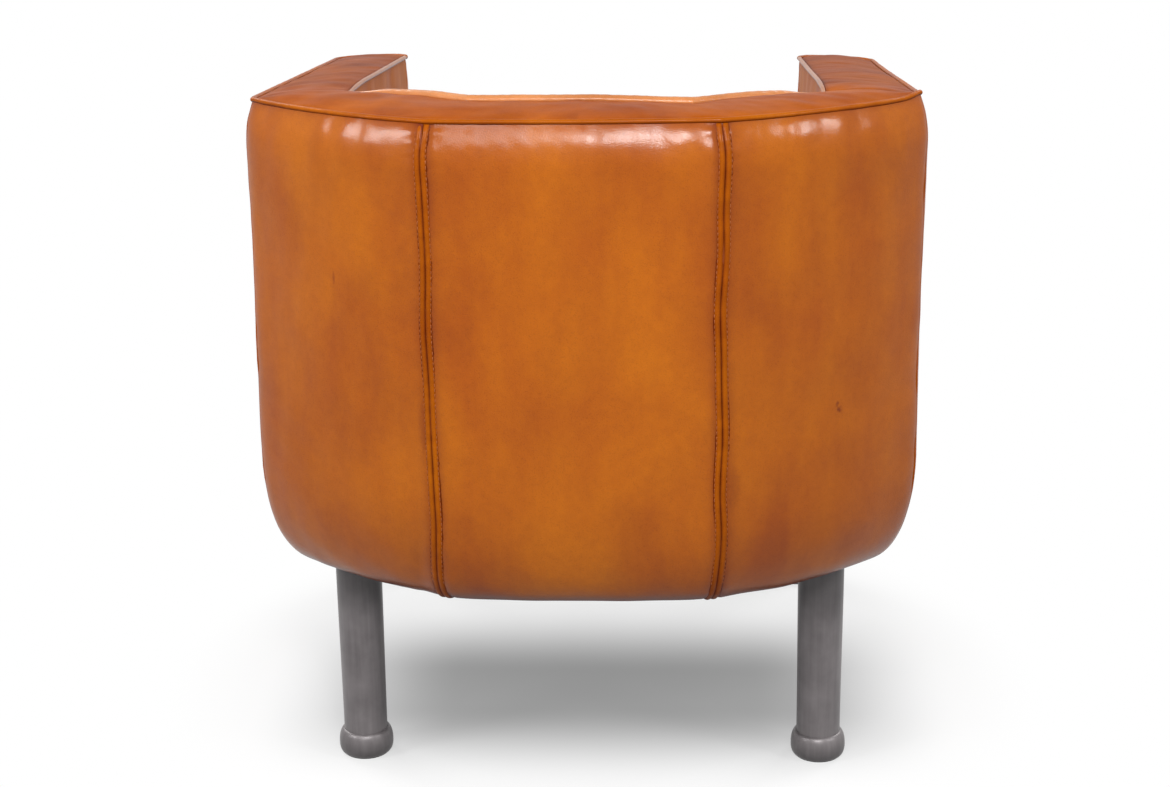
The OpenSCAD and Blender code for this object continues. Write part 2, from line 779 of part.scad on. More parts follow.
// Loops over the crowned top, from its edge inwards
function top_loops(d, drop) = [for (s = top_shares)
  at_height([for (p = cushion_outline(d + border_puff)) lerp(cushion_middle, p, s)],
            cushion_top_z + cushion_crown * (1 - pow(s, crown_power)) - drop)];

function flatten(loops) = [for (l = loops) each l];

// Faces of the bands between loops, outwards, or inwards where in is true
function band_faces(n, rows, base, in) = [
  for (i = [0 : rows - 2]) for (k = [0 : n - 1])
    let (a = base + i * n + k, b = base + i * n + (k + 1) % n, c = b + n, d = a + n)
    each in ? [[a, b, c], [a, c, d]] : [[a, c, b], [a, d, c]]];

// Faces of the rim between the first loops of an outer and an inner skin
function ring_faces(n, a, b) = [for (k = [0 : n - 1])
  let (next = (k + 1) % n) each [[a + k, a + next, b + next], [a + k, b + next, b + k]]];

module cushion_top() {
  outer = top_loops(0, 0);
  inner = top_loops(0, cover_t);
  n = len(outer[0]);
  rows = len(outer);
  count = n * rows;
  tip = concat(cushion_middle, cushion_top_z + cushion_crown);
  color(leather) polyhedron(
    concat(flatten(outer), flatten(inner), [tip, tip - [0, 0, cover_t]]),
    concat(band_faces(n, rows, 0, false), band_faces(n, rows, count, true),
      ring_faces(n, 0, count),
      [for (k = [0 : n - 1]) let (a = count - n + k, b = count - n + (k + 1) % n)
        each [[a, 2 * count, b], [count + a, count + b, 2 * count + 1]]]));
}

module cushion_border() {
  low = cushion_z;
  high = cushion_top_z - cover_t;
  outer = border_loops(0, low, high);
  inner = border_loops(cover_t, low, high);
  n = len(outer[0]);
  rows = len(outer);
  count = n * rows;
  color(leather) polyhedron(
    concat(flatten(outer), flatten(inner)),
    concat(band_faces(n, rows, 0, false), band_faces(n, rows, count, true),
      ring_faces(n, 0, count),
      [for (k = [0 : n - 1]) let (a = count - n + k, b = count - n + (k + 1) % n)
        each [[a, count + b, b], [a, count + a, count + b]]]));
}

module cushion_base() {
  color(cloth) upright(cushion_outline(border_puff + cover_t + fit), cushion_z, cushion_z + cloth_t);
}

module cushion_core() {
  d = cover_t + fit;
  loops = concat(border_loops(d, cushion_z + cloth_t + fit, cushion_top_z - d - 1),
                 tail(top_loops(d, d)));
  n = len(loops[0]);
  count = n * len(loops);
  tip = concat(cushion_middle, cushion_top_z + cushion_crown - d);
  foot = concat(cushion_middle, cushion_z + cloth_t + fit);
  color(foam) polyhedron(
    concat(flatten(loops), [tip, foot]),
    concat(band_faces(n, len(loops), 0, false),
      [for (k = [0 : n - 1]) [count - n + k, count, count - n + (k + 1) % n]],
      [for (k = [0 : n - 1]) [k, (k + 1) % n, count + 1]]));
}

// Legs
leg_x = arm_inner_x + leg_offset;
rear_leg = [leg_x, corner_y - rear_leg_setback];
front_leg = [leg_x, arm_end_y + front_leg_offset];
// Directions of the screws round the front legs, and how far the rear plates are turned
screw_angles = [-30, 30, 150, 210];
rear_turn = -20;
countersink = 1.5;

module at_legs() {
  both_sides() for (p = [rear_leg, front_leg]) translate(p) children();
}

module at_screws() {
  for (a = screw_angles) {
    translate(front_leg + screw_radius * [cos(a), sin(a)]) children();
    translate(rear_leg + screw_radius * [cos(a + rear_turn), sin(a + rear_turn)]) children();
  }
}

module screw(grow) {
  r = screw_d / 2 + grow;
  translate([0, 0, leg_top_z]) {
    cylinder(r1 = r + countersink, r2 = r, h = countersink);
    cylinder(r = r, h = screw_length + grow);
  }
}

module screw_holes() {
  at_screws() screw(hole_gap);
}

module leg_screws() {
  color(zinc) both_sides() at_screws() screw(0);
}

module leg_plates() {
  color(steel) both_sides() difference() {
    for (p = [rear_leg, front_leg]) translate([p.x, p.y, leg_top_z]) cylinder(d = plate_d, h = plate_t);
    screw_holes();
  }
}

module leg(p) {
  color(steel) translate([p.x, p.y, glide_h]) difference() {
    cylinder(d = leg_d, h = leg_top_z - glide_h);
    translate([0, 0, -1]) cylinder(d = leg_d - 2 * leg_wall, h = leg_top_z - glide_h + 2);
  }
}

// Height of the foot's rim above the floor, and radius of its lower edge
foot_low = 1;
foot_low_round = 8;
// Shares of the foot's rim that are flat, below and on top
foot_low_flat = 0.25;
foot_top_flat = 0.1;
foot_angles = [0 : 11.25 : 90];

module foot() {
  bore = leg_d / 2 + hole_gap;
  rim = foot_d / 2 - bore;
  rotate_extrude() polygon(concat(
    [[bore, foot_low]],
    [for (a = foot_angles)
      [bore + rim * lerp(foot_low_flat, 1, sin(a)), foot_low + foot_low_round * (1 - cos(a))]],
    [for (a = foot_angles)
      [bore + rim * lerp(foot_top_flat, 1, cos(a)), foot_h - foot_round * (1 - sin(a))]],
    [[bore, foot_h]]));
}

module feet() {
  color(steel) at_legs() foot();
}

module glides() {
  color(plastic) at_legs() {
    cylinder(d = leg_d, h = glide_h);
    cylinder(d = leg_d - 2 * leg_wall - 2 * hole_gap, h = 4 * glide_h);
  }
}

back_cover_centre();
back_cover_side();  // back_cover_left
mirror([1, 0, 0]) back_cover_side();  // back_cover_right
arm_cover();  // arm_cover_left
mirror([1, 0, 0]) arm_cover();  // arm_cover_right
back_top_cover();
arm_top_cover();  // arm_top_cover_left
mirror([1, 0, 0]) arm_top_cover();  // arm_top_cover_right
inner_back_cover();
inner_arm_cover();  // inner_arm_cover_left
mirror([1, 0, 0]) inner_arm_cover();  // inner_arm_cover_right
seat_front_cover();
outer_piping();
inner_piping();
back_seam_strips();
back_pad_centre();
back_pad_side();  // back_pad_left
mirror([1, 0, 0]) back_pad_side();  // back_pad_right
arm_pad();  // arm_pad_left
mirror([1, 0, 0]) arm_pad();  // arm_pad_right
inner_back_pad_centre();
inner_back_pad_side();  // inner_back_pad_left
mirror([1, 0, 0]) inner_back_pad_side();  // inner_back_pad_right
inner_arm_pad();  // inner_arm_pad_left
mirror([1, 0, 0]) inner_arm_pad();  // inner_arm_pad_right
seat_front_pad();
back_lower_rail();
side_lower_rail();  // side_lower_rail_left
mirror([1, 0, 0]) side_lower_rail();  // side_lower_rail_right
back_upper_rail();
side_upper_rail();  // side_upper_rail_left
mirror([1, 0, 0]) side_upper_rail();  // side_upper_rail_right
back_posts();
corner_posts();
arm_posts();
arm_base();  // arm_base_left
mirror([1, 0, 0]) arm_base();  // arm_base_right
arm_rail();  // arm_rail_left
mirror([1, 0, 0]) arm_rail();  // arm_rail_right
seat_front_rail();
seat_rear_rail();
seat_side_rail();  // seat_side_rail_left
mirror([1, 0, 0]) seat_side_rail();  // seat_side_rail_right
corner_blocks();
webbing_lengthways();
webbing_crossways();
seat_deck();
dust_cover();
cushion_top();
cushion_border();
cushion_base();
cushion_core();
leg(rear_leg);  // leg_rear_left
mirror([1, 0, 0]) leg(rear_leg);  // leg_rear_right
leg(front_leg);  // leg_front_left
mirror([1, 0, 0]) leg(front_leg);  // leg_front_right
leg_plates();
leg_screws();
feet();
glides();
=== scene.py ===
import json
import math
import bmesh
import bpy
import numpy as np
from mathutils import Matrix, Vector


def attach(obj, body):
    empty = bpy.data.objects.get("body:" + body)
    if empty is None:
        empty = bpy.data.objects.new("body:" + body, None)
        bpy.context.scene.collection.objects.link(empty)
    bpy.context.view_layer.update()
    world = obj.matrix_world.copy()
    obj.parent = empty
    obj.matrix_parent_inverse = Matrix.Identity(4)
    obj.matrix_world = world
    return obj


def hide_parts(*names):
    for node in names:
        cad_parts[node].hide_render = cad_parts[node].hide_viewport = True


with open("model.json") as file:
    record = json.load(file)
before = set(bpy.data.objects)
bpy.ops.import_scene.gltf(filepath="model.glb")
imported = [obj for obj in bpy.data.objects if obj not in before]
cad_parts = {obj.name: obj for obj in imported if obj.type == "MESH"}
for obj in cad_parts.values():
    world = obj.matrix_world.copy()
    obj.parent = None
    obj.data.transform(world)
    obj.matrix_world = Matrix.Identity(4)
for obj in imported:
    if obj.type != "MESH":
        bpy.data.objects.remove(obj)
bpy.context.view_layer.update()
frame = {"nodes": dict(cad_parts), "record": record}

nodes = frame["nodes"]
print("frame loaded:", len(nodes), "CAD nodes")

# The shell in metres, as in the CAD source. The back looks along +Y, the sitter along -Y
shell = dict(halfWidth=0.328, armLength=0.578, armWidth=0.087, backDepth=0.137,
             seamX=0.141, seamSetback=0.006, seamTaper=0.009, backThickness=0.111,
             sideThickness=0.104, sideBow=0.013, backHeight=0.715, armDrop=0.044,
             innerLift=0.004, topCrown=0.005, bottomZ=0.2290, backPuff=0.012,
             cornerPuff=0.009, armPuff=0.012, innerPuff=0.004, puffDepth=0.048,
             swell=2.2, rollIn=0.044, rollHeight=0.118, armRoll=0.7, coverT=0.003,
             pipingR=0.003, innerBottom=0.2973, cornerCut=0.0011, cutReach=0.009,
             cutSide=0.2277, edgeGap=0.0016, endLift=0.0088)

cornerY = (shell["armLength"] + shell["cornerPuff"] - shell["backDepth"] - shell["backPuff"]) / 2
armR = shell["armWidth"] / 2
armMidX = shell["halfWidth"] - armR
armInnerX = shell["halfWidth"] - shell["armWidth"]
armEndY = cornerY - shell["armLength"] + armR
backY = cornerY + shell["backDepth"]
seam = np.array([shell["seamX"], backY - shell["seamSetback"]])
corner = np.array([shell["halfWidth"], cornerY])
sideWay = (corner - seam) / np.linalg.norm(corner - seam)
sideNormal = np.array([-sideWay[1], sideWay[0]])
rearWay, leftWay = np.array([0.0, 1.0]), np.array([1.0, 0.0])
armCentre = np.array([armMidX, armEndY])
flipX = np.array([-1.0, 1.0])
wallFall = shell["backHeight"] - shell["bottomZ"]
coverDepth = shell["coverT"] * 0.8


def mitre(a, b):
    # Vector that moves a corner away from both of its edges by one unit
    return (a + b) / (1 + a @ b)


seamMitre = mitre(rearWay, sideNormal)
cornerMitre = mitre(sideNormal, leftWay)
innerY = backY - shell["backThickness"]
innerLine = corner - shell["sideThickness"] * sideNormal
innerSeam = innerLine + sideWay * (innerY - innerLine[1]) / sideWay[1]
innerCorner = innerLine + sideWay * (armInnerX - innerLine[0]) / sideWay[0]


def lerp(a, b, t):
    # From a to b: numbers, or plan points with one row for each t
    t = np.asarray(t, float)
    return a + (b - a) * (t[:, None] if np.ndim(a) == 1 and np.ndim(t) == 1 else t)


def arch(t):
    # 0 at both ends, 1 half way
    return 4 * t * (1 - t)


def smooth(a, b, x):
    # 0 below a, 1 above b, smooth between
    t = np.clip((x - a) / (b - a), 0, 1)
    return t * t * (3 - 2 * t)


def hump(x, middle, width):
    # 1 at the middle, a bell curve that is nearly 0 two widths away
    return np.exp(-((x - middle) / width) ** 2)


def edgeZ(p):
    # Height of the outer piping over plan points: level behind, falling along the arms
    return shell["backHeight"] - shell["armDrop"] * np.maximum(0, cornerY - p[..., 1]) / shell["armLength"]


def rumple(x, y, seed, size, count=9):
    # Sum of sine waves with seeded directions and phases, about 1 high, mean wavelength size
    rng = np.random.default_rng(seed)
    total = 0
    for _ in range(count):
        a, k, f = rng.uniform(0, math.tau), math.tau / (size * rng.uniform(0.6, 1.6)), rng.uniform(0, math.tau)
        total = total + np.sin(k * (x * math.cos(a) + y * math.sin(a)) + f)
    return total / math.sqrt(count)


# How far the sewn shell departs from its drawn shape, in metres. The slides of the seams are
# given for the whole seam, for its middle and for its lower end
unevenness = dict(rise=0.0015, rearRise=0.0028, frontTilt=0.0028, rightLean=0.0045, seamPull=0.004,
                  rightEar=0.0035, earReach=0.018, innerDip=0.0035, backDip=0.0025, lowSpread=0.003,
                  lowSag=0.0028, leftSlide=(0.0012, 0.004, 0.0095), rightSlide=(-0.0018, -0.0016, 0.0062),
                  slideReach=0.045, slideTurn=0.73)


def settle(points):
    # Moves grow from nothing at 0.35 m to full at 0.66 m: a slight rise and tilt of the top edge,
    # the right side leaning out, and the top of the right seam drawn towards the middle. Below,
    # both sides stand a little wider, and each seam slides along the wall by its own amount
    k = unevenness
    x, y, z = points[..., 0], points[..., 1], points[..., 2]
    up, back = smooth(0.35, 0.66, z), smooth(-0.3, 0.3, y)
    ear = k["rightEar"] * np.exp(-((x + corner[0]) ** 2 + (y - corner[1]) ** 2) / k["earReach"] ** 2)
    rise = up * (k["rise"] + k["rearRise"] * back + k["frontTilt"] * (1 - back) * x / 0.3 + ear)
    rise = rise - k["lowSag"] * hump(x, -0.198, 0.025) * smooth(0.27, 0.235, z) * smooth(0.2, 0.3, y)
    pull = k["seamPull"] * hump(x, -shell["seamX"], 0.04) * smooth(0.3, 0.35, y)
    shift = up * (pull - k["rightLean"] * smooth(0.2, 0.32, -x))
    shift = shift + k["lowSpread"] * np.sign(x) * smooth(0.58, 0.34, z) * smooth(0.18, 0.30, np.abs(x))
    whole, middle, low = k["leftSlide"]
    leftSlide = whole + middle * smooth(0.66, 0.48, z) + low * smooth(0.34, 0.23, z)
    whole, middle, low = k["rightSlide"]
    rightSlide = whole + middle * hump(z, 0.5, 0.08) + low * smooth(0.36, 0.23, z)
    slide = np.where(x > 0, leftSlide, rightSlide)
    slide = slide * hump(np.abs(x), 0.136, k["slideReach"]) * smooth(0.22, 0.27, y)
    onSide = smooth(0.116, 0.156, np.abs(x))
    return points + np.stack([shift + np.sign(x) * slide, -k["slideTurn"] * slide * onSide, rise], -1)


def innerHeight(p):
    # Height of the inner piping: above the outer one, less so along the back, least on its right half
    behind = smooth(innerCorner[1] - 0.12, innerCorner[1], p[:, 1])
    low = smooth(0.0, 0.13, -p[:, 0]) * smooth(innerCorner[1] - 0.03, innerCorner[1] + 0.01, p[:, 1])
    return edgeZ(p) + shell["innerLift"] - unevenness["backDip"] * behind - unevenness["innerDip"] * low


# Places along the walls: plan point, outward mitre, swell, share of the roll, lean per metre down
def centrePlaces(u):
    # u from -1 at the right seam to 1 at the left one: a shallow parabola
    p = np.stack([shell["seamX"] * u, backY - shell["seamSetback"] * u * u], 1)
    m = np.stack([seamMitre[0] * u, 1 + (seamMitre[1] - 1) * np.abs(u)], 1)
    return dict(p=p, m=m, puff=np.full(len(u), shell["backPuff"]), roll=np.ones(len(u)),
                lean=-u * shell["seamTaper"] / wallFall, low=np.full(len(u), shell["bottomZ"]))


def sidePlaces(t):
    # t from 0 at the seam to 1 at the rear corner: a straight line bowed outwards, cut back at the corner
    cut = np.outer(shell["cornerCut"] * hump((1 - t) * shell["cutSide"], 0, shell["cutReach"]), cornerMitre)
    return dict(p=lerp(seam, corner, t) + np.outer(shell["sideBow"] * arch(t), sideNormal) - cut,
                m=lerp(seamMitre, cornerMitre, t),
                puff=lerp(shell["backPuff"], shell["cornerPuff"], t ** 3), roll=np.ones(len(t)),
                lean=-(1 - t) * shell["seamTaper"] / wallFall, low=np.full(len(t), shell["bottomZ"]))


armStraight = cornerY - armEndY
armRound = math.pi * armR


def armPlaces(s):
    # s is metres from the rear corner: forward along the arm, then round its front end
    t = np.clip(s / armStraight, 0, 1)
    a = np.clip((s - armStraight) / armR, 0, math.pi)
    onRound = s > armStraight
    turn = np.clip(a / (math.pi / 2) - 1, 0, 1)
    m = lerp(cornerMitre, leftWay, t)
    m[onRound] = np.stack([np.cos(a), -np.sin(a)], 1)[onRound]
    p = lerp(corner, np.array([shell["halfWidth"], armEndY]), t)
    p = p - np.outer(shell["cornerCut"] * hump(s, 0, shell["cutReach"]), cornerMitre)
    p[onRound] = (armCentre + armR * m)[onRound]
    puff = np.where(onRound, shell["cornerPuff"] * (1 - turn),
                    lerp(shell["cornerPuff"], shell["armPuff"], arch(t)))
    roll = np.where(onRound, shell["armRoll"] * (1 - 0.6 * turn), lerp(1.0, shell["armRoll"], t))
    low = shell["bottomZ"] + shell["endLift"] * smooth(math.radians(118), math.radians(140), a)
    return dict(p=p, m=m, puff=puff, roll=roll, lean=np.zeros(len(s)), low=low)


def wallGrid(places, rows, depth=0.0):
    # Down each place: the swell 1-(1-drop/48 mm)^2.2, a straight part, then a quarter ellipse.
    # A point is plan point + mitre * out, and the lean moves it sideways with the drop
    c = {k: v[:, None] for k, v in places.items() if k not in ("p", "m")}
    top, gap, swellEnd = edgeZ(places["p"])[:, None], shell["edgeGap"], shell["puffDepth"]
    drops = (gap + (swellEnd - gap) * np.linspace(0, 1, rows[0]) ** 1.3)[None, :]
    flats = np.linspace(0, 1, rows[1] + 2)[None, 1:-1]
    angles = np.linspace(0, math.pi / 2, rows[2])[None, :]
    rollTop = c["low"] + shell["rollHeight"] * c["roll"]
    out = np.concatenate([
        c["puff"] * (1 - (1 - drops / swellEnd) ** shell["swell"]) - depth,
        c["puff"] - depth + 0 * flats,
        c["puff"] - shell["rollIn"] * c["roll"] * (1 - np.cos(angles)) - depth * np.cos(angles)], 1)
    z = np.concatenate([
        top - drops, lerp(top - swellEnd, rollTop, flats),
        c["low"] + shell["rollHeight"] * c["roll"] * (1 - np.sin(angles)) + depth * np.sin(angles)], 1)
    xy = places["p"][:, None, :] + places["m"][:, None, :] * out[..., None]
    x = xy[..., 0] + c["lean"] * np.maximum(0, top - z)
    return np.stack([x, xy[..., 1], z], 2)


def unit(v):
    return v / np.linalg.norm(v, axis=-1, keepdims=True)


def normalsOf(grid):
    # Cross product of the two ways across the grid
    n = np.cross(np.gradient(grid, axis=0), np.gradient(grid, axis=1))
    return n / np.maximum(np.linalg.norm(n, axis=2, keepdims=True), 1e-12)


def alongPath(points):
    # Metres from the first point
    return np.concatenate([[0], np.cumsum(np.linalg.norm(np.diff(points, axis=0), axis=1))])


def quads(rows, cols, start=0, closeRows=False, closeCols=False):
    # Corner numbers of each quad of a grid stored row by row
    r = np.arange(rows if closeRows else rows - 1)[:, None]
    c = np.arange(cols if closeCols else cols - 1)[None, :]
    at = lambda i, j: start + (i % rows) * cols + (j % cols)
    return np.stack([at(r, c), at(r + 1, c), at(r + 1, c + 1), at(r, c + 1)], -1).reshape(-1, 4)


def setShade(mesh, shade):
    # One value from 0 to 1 for each vertex, which darkens the leather there: mostly painted shade in creases, seams
    # and under edges, with some random tone
    layer = mesh.attributes.new("shade", "FLOAT", "POINT")
    layer.data.foreach_set("value", np.clip(shade, 0, 1).astype(np.float32).ravel())


def meshPiece(name, points, faces, shade=None, merge=True, sharp=40):
    # Smooth shaded, with hard edges only where faces meet at more than so many degrees
    mesh = bpy.data.meshes.new(name)
    mesh.from_pydata(np.asarray(points, float).tolist(), [], faces if isinstance(faces, list) else faces.tolist())
    if shade is not None:
        setShade(mesh, shade)
    body = bmesh.new()
    body.from_mesh(mesh)
    if merge:
        bmesh.ops.remove_doubles(body, verts=body.verts, dist=2e-6)
        bmesh.ops.dissolve_degenerate(body, edges=body.edges, dist=1e-7)
    bmesh.ops.recalc_face_normals(body, faces=body.faces)
    body.to_mesh(mesh)
    body.free()
    mesh.polygons.foreach_set("use_smooth", np.ones(len(mesh.polygons), bool))
    if sharp:
        mesh.set_sharp_from_angle(angle=math.radians(sharp))
    mesh.update()
    piece = bpy.data.objects.new(name, mesh)
    bpy.context.scene.collection.objects.link(piece)
    return piece


def shellPiece(name, outer, inner, shade):
    # Closed body between an outer and an inner grid, joined round its rim
    rows, cols = outer.shape[:2]
    size = rows * cols
    front, back = quads(rows, cols), quads(rows, cols, size)[:, ::-1]
    ring = np.concatenate([np.arange(cols), np.arange(1, rows) * cols + cols - 1,
                           (rows - 1) * cols + np.arange(cols - 2, -1, -1),
                           np.arange(rows - 2, 0, -1) * cols])
    after = np.roll(ring, -1)
    rim = np.stack([ring, after, after + size, ring + size], 1)
    points = np.concatenate([outer.reshape(-1, 3), inner.reshape(-1, 3)])
    return meshPiece(name, points, np.concatenate([front, back, rim]), np.tile(shade.ravel(), 2))


def mirrored(grid):
    # The same grid on the chair's right side
    return grid * np.array([-1.0, 1.0, 1.0])


def finishPiece(piece, body, slot, material, *replaced):
    piece.data.materials.clear()
    piece.data.materials.append(material)
    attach(piece, body)
    if replaced:
        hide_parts(*replaced)


def newGroup(name, inputs, outputs):
    # Shader group that several finishes share, with its sockets as names and kinds
    group = bpy.data.node_groups.new(name, "ShaderNodeTree")
    for way, sockets in (("INPUT", inputs), ("OUTPUT", outputs)):
        for socket, kind in sockets.items():
            group.interface.new_socket(name=socket, in_out=way, socket_type="NodeSocket" + kind)
    return group, group.nodes.new("NodeGroupInput").outputs, group.nodes.new("NodeGroupOutput").inputs


def addNode(tree, kind, inputs=None, **settings):
    # One node, its settings, and its inputs as plain values or as sockets to link from
    node = tree.nodes.new(kind)
    for key, value in settings.items():
        setattr(node, key, value)
    for key, value in (inputs or {}).items():
        socket = node.inputs[key]
        if isinstance(value, bpy.types.NodeSocket):
            tree.links.new(value, socket)
        else:
            socket.default_value = value
    return node


def ramp(tree, factor, stops):
    node = addNode(tree, "ShaderNodeValToRGB", {"Fac": factor})
    while len(node.color_ramp.elements) < len(stops):
        node.color_ramp.elements.new(0.5)
    for element, (place, colour) in zip(node.color_ramp.elements, stops):
        element.position = place
        element.color = (*colour, 1) if len(colour) == 3 else colour
    return node.outputs["Color"]


def mathNode(tree, operation, a, b=0.0, clamp=False):
    return addNode(tree, "ShaderNodeMath", {0: a, 1: b}, operation=operation, use_clamp=clamp).outputs[0]


def mixColour(tree, factor, a, b, blend="MIX"):
    node = addNode(tree, "ShaderNodeMix", {"Factor": factor}, data_type="RGBA", blend_type=blend)
    for key, value in ((6, a), (7, b)):
        if isinstance(value, bpy.types.NodeSocket):
            tree.links.new(value, node.inputs[key])
        else:
            node.inputs[key].default_value = (*value, 1)
    return node.outputs[2]


def scaled(tree, value, factor, plus=0.0, clamp=False):
    # value * factor + plus
    return mathNode(tree, "ADD", mathNode(tree, "MULTIPLY", value, factor), plus, clamp)


def weighted(tree, a, shareA, b, shareB):
    return scaled(tree, a, shareA, mathNode(tree, "MULTIPLY", b, shareB))


def vectorNode(tree, operation, a, b):
    return addNode(tree, "ShaderNodeVectorMath", {0: a, 1: b}, operation=operation).outputs[0]


def lengthNode(tree, vector):
    return addNode(tree, "ShaderNodeVectorMath", {0: vector}, operation="LENGTH").outputs["Value"]


def objectSpace(tree, ways=None):
    # Object coordinates, drawn out along the axes whose factor is below 1
    place = addNode(tree, "ShaderNodeTexCoord").outputs["Object"]
    return place if ways is None else vectorNode(tree, "MULTIPLY", place, ways)


def noiseNode(tree, vector, scale, detail, rough=0.5, bend=0.0):
    return addNode(tree, "ShaderNodeTexNoise", {"Vector": vector, "Scale": scale, "Detail": detail,
                                                "Roughness": rough, "Distortion": bend}).outputs["Fac"]


def easeNode(tree, value, start, end, first, last):
    # Smooth change from first at start to last at end
    return addNode(tree, "ShaderNodeMapRange", {"Value": value, "From Min": start, "From Max": end, "To Min": first,
                                                "To Max": last}, interpolation_type="SMOOTHSTEP").outputs[0]


def bumpNode(tree, height, strength, distance):
    bump = addNode(tree, "ShaderNodeBump", {"Height": height, "Strength": strength, "Distance": distance})
    return bump.outputs["Normal"]


def newMaterial(name, values=None):
    material = bpy.data.materials.new(name)
    material.use_nodes = True
    tree = material.node_tree
    shader = tree.nodes["Principled BSDF"]
    for key, value in (values or {}).items():
        shader.inputs[key].default_value = value
    return material, tree, shader


def feed(tree, sockets, links):
    for key, value in links.items():
        tree.links.new(value, sockets[key])


# Sizes of the hide's patterns, as noise scales, and how each is drawn out along the axes
hideLook = dict(cloud=9.0, cloudWays=(1.0, 1.0, 0.6), streak=34.0, streakWays=(1.0, 1.0, 0.12), patch=17.0,
                pore=900.0, fine=105.0, bend=120.0, bendBy=(0.004, 0.004, 0.004), pebble=420.0,
                wrinkle=26.0, wrinkleWays=(1.0, 1.0, 0.3), mark=260.0, relief=0.0004)


def buildHideColour():
    # Aniline leather: soft cloudy mottling drawn out along one way, fine pores, darker where shade is high
    g, given, result = newGroup("hideColour", {"Vector": "Vector", "Light": "Color", "Middle": "Color",
                                               "Dark": "Color", "Shade": "Float"},
                                {"Color": "Color", "Roughness": "Float"})
    v, shade, look = given["Vector"], given["Shade"], hideLook
    cloudy = vectorNode(g, "MULTIPLY", v, look["cloudWays"])
    clouds = noiseNode(g, cloudy, look["cloud"], 5.0, 0.52, 0.35)
    streaks = noiseNode(g, vectorNode(g, "MULTIPLY", v, look["streakWays"]), look["streak"], 4.0, 0.55)
    tone = ramp(g, weighted(g, clouds, 0.78, streaks, 0.22), [(0.36, (0, 0, 0)), (0.65, (1, 1, 1))])
    colour = mixColour(g, tone, given["Middle"], given["Light"])
    worn = ramp(g, noiseNode(g, cloudy, look["patch"], 3.0), [(0.30, (1, 1, 1)), (0.47, (0, 0, 0))])
    # Worn patches and the painted shade of the Shade input both pull the colour towards Dark
    colour = mixColour(g, scaled(g, worn, 0.15, shade, True), colour, given["Dark"])
    pores = ramp(g, noiseNode(g, v, look["pore"], 2.0), [(0.33, (0.84, 0.82, 0.80)), (0.45, (0.99, 0.99, 0.99))])
    colour = mixColour(g, 1.0, colour, pores, "MULTIPLY")
    fine = ramp(g, noiseNode(g, v, look["fine"], 5.0, 0.7),
                [(0.34, (0.90, 0.87, 0.85)), (0.62, (0.975, 0.97, 0.965))])
    colour = mixColour(g, 1.0, colour, fine, "MULTIPLY")
    rough = scaled(g, shade, 0.10, scaled(g, clouds, 0.20, 0.28), True)
    feed(g, result, {"Color": colour, "Roughness": rough})
    return g


def buildHideGrain():
    # Height of the grain: small pebbles with fine creases between them, and faint long wrinkles
    g, given, result = newGroup("hideGrain", {"Vector": "Vector", "Wrinkle": "Float"}, {"Height": "Float"})
    v, look = given["Vector"], hideLook
    bent = addNode(g, "ShaderNodeTexNoise", {"Vector": v, "Scale": look["bend"], "Detail": 2.0}).outputs["Color"]
    moved = vectorNode(g, "ADD", v, vectorNode(g, "MULTIPLY", bent, look["bendBy"]))
    cells = addNode(g, "ShaderNodeTexVoronoi", {"Vector": moved, "Scale": look["pebble"]},
                    feature="DISTANCE_TO_EDGE").outputs["Distance"]
    pebbles = mathNode(g, "MULTIPLY", mathNode(g, "MINIMUM", mathNode(g, "MULTIPLY", cells, 4.0), 1.0), 0.22)
    wrinkles = noiseNode(g, vectorNode(g, "MULTIPLY", v, look["wrinkleWays"]), look["wrinkle"], 4.0, 0.6, 0.8)
    feed(g, result, {"Height": scaled(g, wrinkles, given["Wrinkle"], pebbles)})
    return g


hideColour = buildHideColour()
hideGrain = buildHideGrain()


def scuffs(tree, place, marks):
    # Small dark marks: their depth at each centre, 0 beyond its reach, the edge broken up by noise
    rough = noiseNode(tree, place, hideLook["mark"], 3.0)
    total = 0.0
    for centre, reach, depth in marks:
        away = vectorNode(tree, "DIVIDE", vectorNode(tree, "SUBTRACT", place, centre), reach)
        edge = scaled(tree, rough, 0.9, lengthNode(tree, away))
        total = mathNode(tree, "ADD", easeNode(tree, edge, 0.7, 1.3, depth, 0.0), total)
    return total


def leather(name, light, middle, dark, wrinkle=0.7, gloss=0.35, glint=0.08, marks=()):
    # Three tones of the hide under a polish: gloss is the polish's weight, glint the hide's own shine
    material, tree, shader = newMaterial(name, {"Specular IOR Level": glint, "Coat Weight": gloss,
                                                "Coat Roughness": 0.15})
    place = objectSpace(tree)
    # The shade attribute holds painted shade; the scuff marks are added to it
    shade = addNode(tree, "ShaderNodeAttribute", attribute_name="shade").outputs["Fac"]
    if marks:
        shade = mathNode(tree, "ADD", shade, scuffs(tree, place, marks))
    tones = {"Vector": place, "Shade": shade, "Light": (*light, 1), "Middle": (*middle, 1), "Dark": (*dark, 1)}
    colour = addNode(tree, "ShaderNodeGroup", tones, node_tree=hideColour).outputs
    grain = addNode(tree, "ShaderNodeGroup", {"Vector": place, "Wrinkle": wrinkle}, node_tree=hideGrain)
    height, relief = grain.outputs["Height"], hideLook["relief"]
    feed(tree, shader.inputs, {"Base Color": colour["Color"], "Roughness": colour["Roughness"],
                               "Normal": bumpNode(tree, height, 0.55, relief),
                               "Coat Normal": bumpNode(tree, height, 0.30, relief)})
    return material


